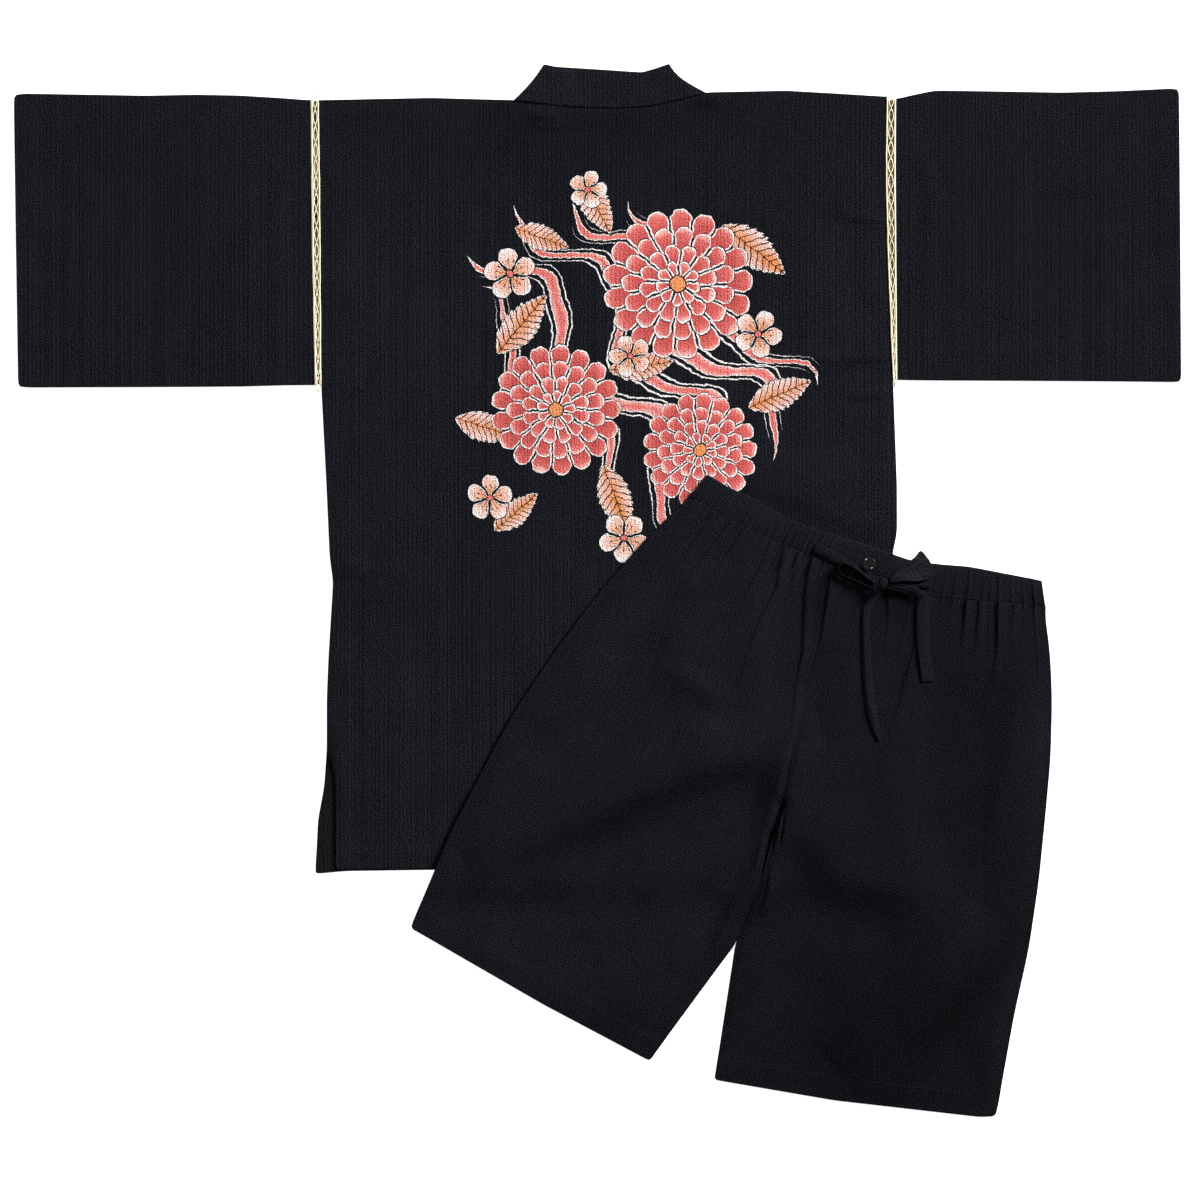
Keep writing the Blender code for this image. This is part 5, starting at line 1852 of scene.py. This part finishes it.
def wrap_knot():
    """A small dome over all the bands that meet, with the two folds of its wrap sunk in."""
    share = shares(10, 0.4, (0.15, 0.4))
    side, along = share[None, :] * 2 - 1, share[:, None] * 2 - 1
    width = KNOT_SIZE[0] / 2 * (1 - 0.12 * np.abs(along) ** 3)
    across = KNOT.across + side * width * np.sqrt(1 - along**2 * 0.2)
    down = KNOT.down + along * KNOT_SIZE[1] / 2 * np.sqrt(1 - side**2 * 0.25)
    dome = ((1 - np.abs(side) ** 3.2) * (1 - np.abs(along) ** 3.2)).clip(0) ** 0.45
    folds = sum(np.exp(-(((side - place) / 0.11) ** 2)) for place in KNOT_FOLDS) * 0.9
    low = on_table(SHORTS, across, down)
    low[..., 2] = pile.under(low, 4).max() - 1.5
    top = low.copy()
    top[..., 2] += 0.4 + KNOT_SIZE[2] * dome - folds * dome
    cut = np.dstack([across, down])
    shell("bow_knot_wrap", top, low, cut, string_cotton, ["bow_knot"], "string_cotton")


wrap_knot()
print("bow tied, pile at most", round(pile.top.max(), 1), "mm")

# %% [markdown]
# ## The button
# A flat four-hole button of dark resin closes the casing. It is turned: a profile of the rim, the dish and
# the back, swept round by a Screw modifier. One Boolean drills the four holes together. Its thread crosses
# in the middle.
# %% Button
BUTTON = Route(8, 36.6)
BUTTON_RADIUS = 6.2
BUTTON_HIGH = 2.6
BUTTON_PROFILE = [
    (0, 0), (0.82, 0), (0.95, 0.08), (1.0, 0.3), (1.0, 0.74), (0.99, 0.83), (0.975, 0.85), (0.865, 0.9556),
    (0.85, 0.965), (0.82, 0.965), (0.805, 0.955), (0.68, 0.835), (0.665, 0.82), (0.6, 0.79), (0, 0.78),
]
HOLE = 0.88
HOLE_SPREAD = 1.45
BUTTON_FLOOR = 0.78
BUTTON_THREAD = 0.16
print("button radius:", BUTTON_RADIUS, "mm")

# %% Turning and sewing on
def button_base():
    """How high the button lies, on the highest point below its back."""
    turns = np.linspace(0, math.tau, 12)
    ring = on_table(SHORTS, BUTTON.across + np.cos(turns) * 5, BUTTON.down + np.sin(turns) * 5)
    return pile.under(ring, 1.5).max()


def four_drills():
    """Four cylinders in one mesh, for the four holes."""
    drills = bmesh.new()
    for column in (-1, 1):
        for row in (-1, 1):
            middle = Matrix.Translation(Vector((column, row, 0)) * HOLE_SPREAD * MM)
            sizes = {"radius1": HOLE * MM, "radius2": HOLE * MM, "depth": 4 * BUTTON_HIGH * MM}
            bmesh.ops.create_cone(drills, cap_ends=True, segments=20, matrix=middle, **sizes)
    mesh = bpy.data.meshes.new("drills")
    drills.to_mesh(mesh)
    drills.free()
    return put("drills", mesh)


def turn_button(base):
    points = [(r * BUTTON_RADIUS, 0, z * BUTTON_HIGH) for r, z in BUTTON_PROFILE]
    blank = line_object("blank", [points])
    turned = blank.modifiers.new("turned", "SCREW")
    turned.steps = turned.render_steps = 64
    turned.use_merge_vertices = True
    turned.merge_threshold = 0.00001
    drill = four_drills()
    holes = blank.modifiers.new("holes", "BOOLEAN")
    holes.operation = "DIFFERENCE"
    holes.object = drill
    made = plain_mesh(blank, "button_turned")
    bpy.data.objects.remove(drill)
    place = Vector(on_table(SHORTS, BUTTON.across, BUTTON.down, base)) * MM
    made.transform(Matrix.Translation(place) @ Matrix.Rotation(SHORTS.turn, 4, "Z"))
    made.materials.clear()
    made.materials.append(button_resin)
    made.shade_smooth()
    made.set_sharp_from_angle(angle=math.radians(35))
    settle(put("button_turned", made), ["button"])


def sew_button(base):
    """Two bundles of thread that cross over the middle and dip into the holes."""
    lines = []
    floor = base + BUTTON_HIGH * BUTTON_FLOOR
    for turn in (-1, 1):
        for aside in (-0.3, 0, 0.3):
            place = np.linspace(-1, 1, 11)
            reach = HOLE_SPREAD * 1.08
            across = BUTTON.across + place * reach + aside * turn * 0.7
            down = BUTTON.down + place * turn * reach - aside * 0.7
            rise = 0.1 * (1 - np.abs(place) ** 4) - 1.2 * np.abs(place) ** 6 + 0.08 * (turn + 1)
            lines.append(on_table(SHORTS, across, down, floor + rise))
    sizes = {"Radius": BUTTON_THREAD * MM}
    line = line_object("thread_lines", lines)
    run_pattern("button_thread", CORD_TREE, line, navy_thread, sizes, ())


base = button_base()
turn_button(base)
sew_button(base)
print("button lies at", round(base, 1), "mm")

# %% [markdown]
# ## Stitches
# Every turned edge is held by a row of small stitches in thread of the same colour. They lie a set distance
# inside an edge of a finished cloth, so the line is read from that cloth's own grid. The tree then puts one
# flattened bead per stitch on the line.
# %% The stitches' tree
def stitch_pattern():
    """One flattened bead to every stitch."""
    stitch = Pattern("stitches", ["Pitch", "Length", "Radius"])
    bead = stitch.node("GeometryNodeMeshUVSphere", None, {"Segments": 6, "Rings": 4, "Radius": 1.0})
    long = stitch.number("MULTIPLY", stitch.size("Length"), 0.5)
    flat = stitch.number("MULTIPLY", stitch.size("Radius"), 0.7)
    scale = stitch.vector(long, stitch.size("Radius"), flat)
    return stitch.finished(stitch.copies(stitch.spaced("Pitch"), bead, stitch.facing("X"), scale))


def inset(name, edge, distance):
    """A line on a laid cloth's face, a distance inside one of its edges: l, r, t or b."""
    top = CLOTHS[name].top
    if edge in "lr":
        top = top.transpose(1, 0, 2)
    if edge in "rb":
        top = top[::-1]
    away = np.linalg.norm((top - top[:1])[..., :2], axis=-1)
    line = []
    for k in range(top.shape[1]):
        line.append([np.interp(distance, away[:, k], top[:, k, axis]) for axis in range(3)])
    return np.array(line)


STITCH_TREE = stitch_pattern()
STITCH = {"Pitch": 3.2 * MM, "Length": 2.3 * MM, "Radius": 0.26 * MM}
print("stitch tree nodes:", len(STITCH_TREE.tree.nodes))

# %% Sewing
JACKET_SEAMS = [
    ("collar_back_band", "b", TOPSTITCH[0]), ("collar_back_band", "b", TOPSTITCH[1]),
    ("jacket_back_cloth", "b", JACKET_HEM), ("sleeve_left_cloth", "b", 20), ("sleeve_right_cloth", "b", 20),
    ("jacket_back_cloth", "t", 3),
]
SHORTS_SEAMS = [
    ("shorts_front_left_cloth", "b", 22), ("shorts_front_right_cloth", "b", 22),
    ("waistband_cloth", "b", CASING_STITCH), ("waistband_cloth", "t", 5),
]


def sew(name, seams):
    lines = [inset(*seam)[3:-3] for seam in seams]
    return run_pattern(name, STITCH_TREE, line_object(name + "_lines", lines), navy_thread, STITCH)


jacket_stitches = sew("jacket_stitches", JACKET_SEAMS)
shorts_stitches = sew("shorts_stitches", SHORTS_SEAMS)
print("stitch faces:", len(jacket_stitches.data.polygons), len(shorts_stitches.data.polygons))

# %% [markdown] ## Cuts and free ends A sheet of cloth keeps the size that it was cut to, however it lies.
# Each cloth's size is worked out here from its own grid of points: the longest way round it, the
# longest way along it, and the area of the cut. A gathered cloth was cut wider than it lies.
Cut = namedtuple("Cut", "name rests_on goes_with held gather", defaults=[[], "laid", 1])
TAPES = {"left": [piece.name for piece in left_tape], "right": [piece.name for piece in right_tape]}
ON_WAISTBAND = ["shorts_stitches", "button_turned", "button_thread"]
CUTS = rows(
    Cut,
    ("jacket_front_left_cloth", []),
    ("collar_front_left_cloth", []),
    ("tie_front_band", ["jacket_front_left_cloth"]),
    ("tie_side_band", ["jacket_front_left_cloth"]),
    ("jacket_front_right_cloth", ["jacket_front_left_cloth"]),
    ("collar_front_right_cloth", ["jacket_front_left_cloth"]),
    ("jacket_back_cloth", ["jacket_front_right_cloth"], ["jacket_stitches"]),
    ("collar_back_band", ["collar_front_right_cloth"]),
    ("sleeve_left_cloth", [], TAPES["left"]),
    ("sleeve_right_cloth", [], TAPES["right"]),
    ("shorts_back_left_cloth", ["jacket_back_cloth"]),
    ("shorts_back_right_cloth", ["jacket_back_cloth"]),
    ("shorts_front_left_cloth", ["shorts_back_left_cloth"], [], "gathered", 1.12),
    ("shorts_front_right_cloth", ["shorts_back_right_cloth"], [], "gathered", 1.12),
    ("waistband_cloth", ["jacket_back_cloth"], ON_WAISTBAND, "gathered", 1.3),
)


def declare_sheet(cut):
    laid = CLOTHS[cut.name]
    points = np.dstack([laid.across, laid.down]) * MM
    around = np.linalg.norm(np.diff(points, axis=1), axis=-1).sum(axis=1).max() * laid.layers * cut.gather
    along = np.linalg.norm(np.diff(points, axis=0), axis=-1).sum(axis=0).max()
    one, other = points[1:, 1:] - points[:-1, :-1], points[:-1, 1:] - points[1:, :-1]
    cells = np.abs(one[..., 0] * other[..., 1] - one[..., 1] * other[..., 0]) / 2
    area = min(float(cells.sum()) * laid.layers * cut.gather, around * along)


for cut in CUTS:
    declare_sheet(cut)

FREE_ENDS = {
    "tail_right_band": ["drawstring_right_band", "bow_loop_right_band", "bow_knot_wrap"],
    "tail_left_band": ["drawstring_left_band", "bow_loop_left_band", "tail_left_strip"],
}

for name, goes_with in FREE_ENDS.items():
    laid = CLOTHS[name]
    middle = laid.top[:, laid.top.shape[1] // 2] - (0, 0, STRING_WALL / 2)
    path = (middle * MM).tolist()
    length = float(np.linalg.norm(np.diff(middle, axis=0), axis=1).sum() * MM)
    print(name, "length", round(length, 4), "m")

# %% [markdown]
# ## Table and light
# A plain pale table and soft studio light. One large lamp, far off and low on the right, gives the folds a
# bright and a dark side. A small one at the upper left keeps the dark side open and glints on the button's
# rim, and a pale sky fills what is left.
# %% Table, lamps and sky
TABLE_HALF = 6.0
TABLE_WHITE = (0.86, 0.86, 0.86)
TABLE_GLOW = 0.9
SKY_LIGHT = 0.18


def lay_table():
    """A flat top that glows a little, so that it stays plain and pale."""
    mesh = bpy.data.meshes.new("table_top")
    corners = [(x * TABLE_HALF, y * TABLE_HALF, 0) for x, y in ((-1, -1), (1, -1), (1, 1), (-1, 1))]
    mesh.from_pydata(corners, [], [(0, 1, 2, 3)])
    glow = {"Emission_Color": (1, 1, 1, 1), "Emission_Strength": TABLE_GLOW}
    recipe = Recipe("table_white", Roughness=0.9, **glow)
    place = recipe.node("ShaderNodeTexCoord", out=3)
    cloud = recipe.node("ShaderNodeTexNoise", None, {"Vector": place, "Scale": 3.0}) * 0.02
    mesh.materials.append(recipe.give(Base_Color=recipe.shade(TABLE_WHITE, cloud + 0.99)))
    put("table_top", mesh)


def hang_lamp(name, place, size, watts):
    """A square lamp that faces the middle of the table."""
    lamp = bpy.data.lights.new(name, "AREA")
    lamp.shape = "RECTANGLE"
    lamp.size = lamp.size_y = size
    lamp.energy = watts
    holder = put(name, lamp)
    holder.location = place
    holder.rotation_euler = (-Vector(place)).to_track_quat("-Z", "Y").to_euler()


lay_table()
hang_lamp("key_lamp", (20.3, 15.9, 10.9), 7.5, 19300)
hang_lamp("fill_lamp", (-1.2, 2.5, 3.0), 0.7, 40)
sky = bpy.data.worlds.new("pale_sky")
sky.use_nodes = True
sky.node_tree.nodes["Background"].inputs["Color"].default_value = (1, 1, 1, 1)
sky.node_tree.nodes["Background"].inputs["Strength"].default_value = SKY_LIGHT
bpy.context.scene.world = sky
bpy.context.scene.view_settings.view_transform = "Standard"
print("lamps:", sum(o.type == "LIGHT" for o in bpy.context.scene.objects))

# %% [markdown]
# ## The last line
# The made set has to stay in the simple model's box but for a little room for cloth.
# %% The last line
import json
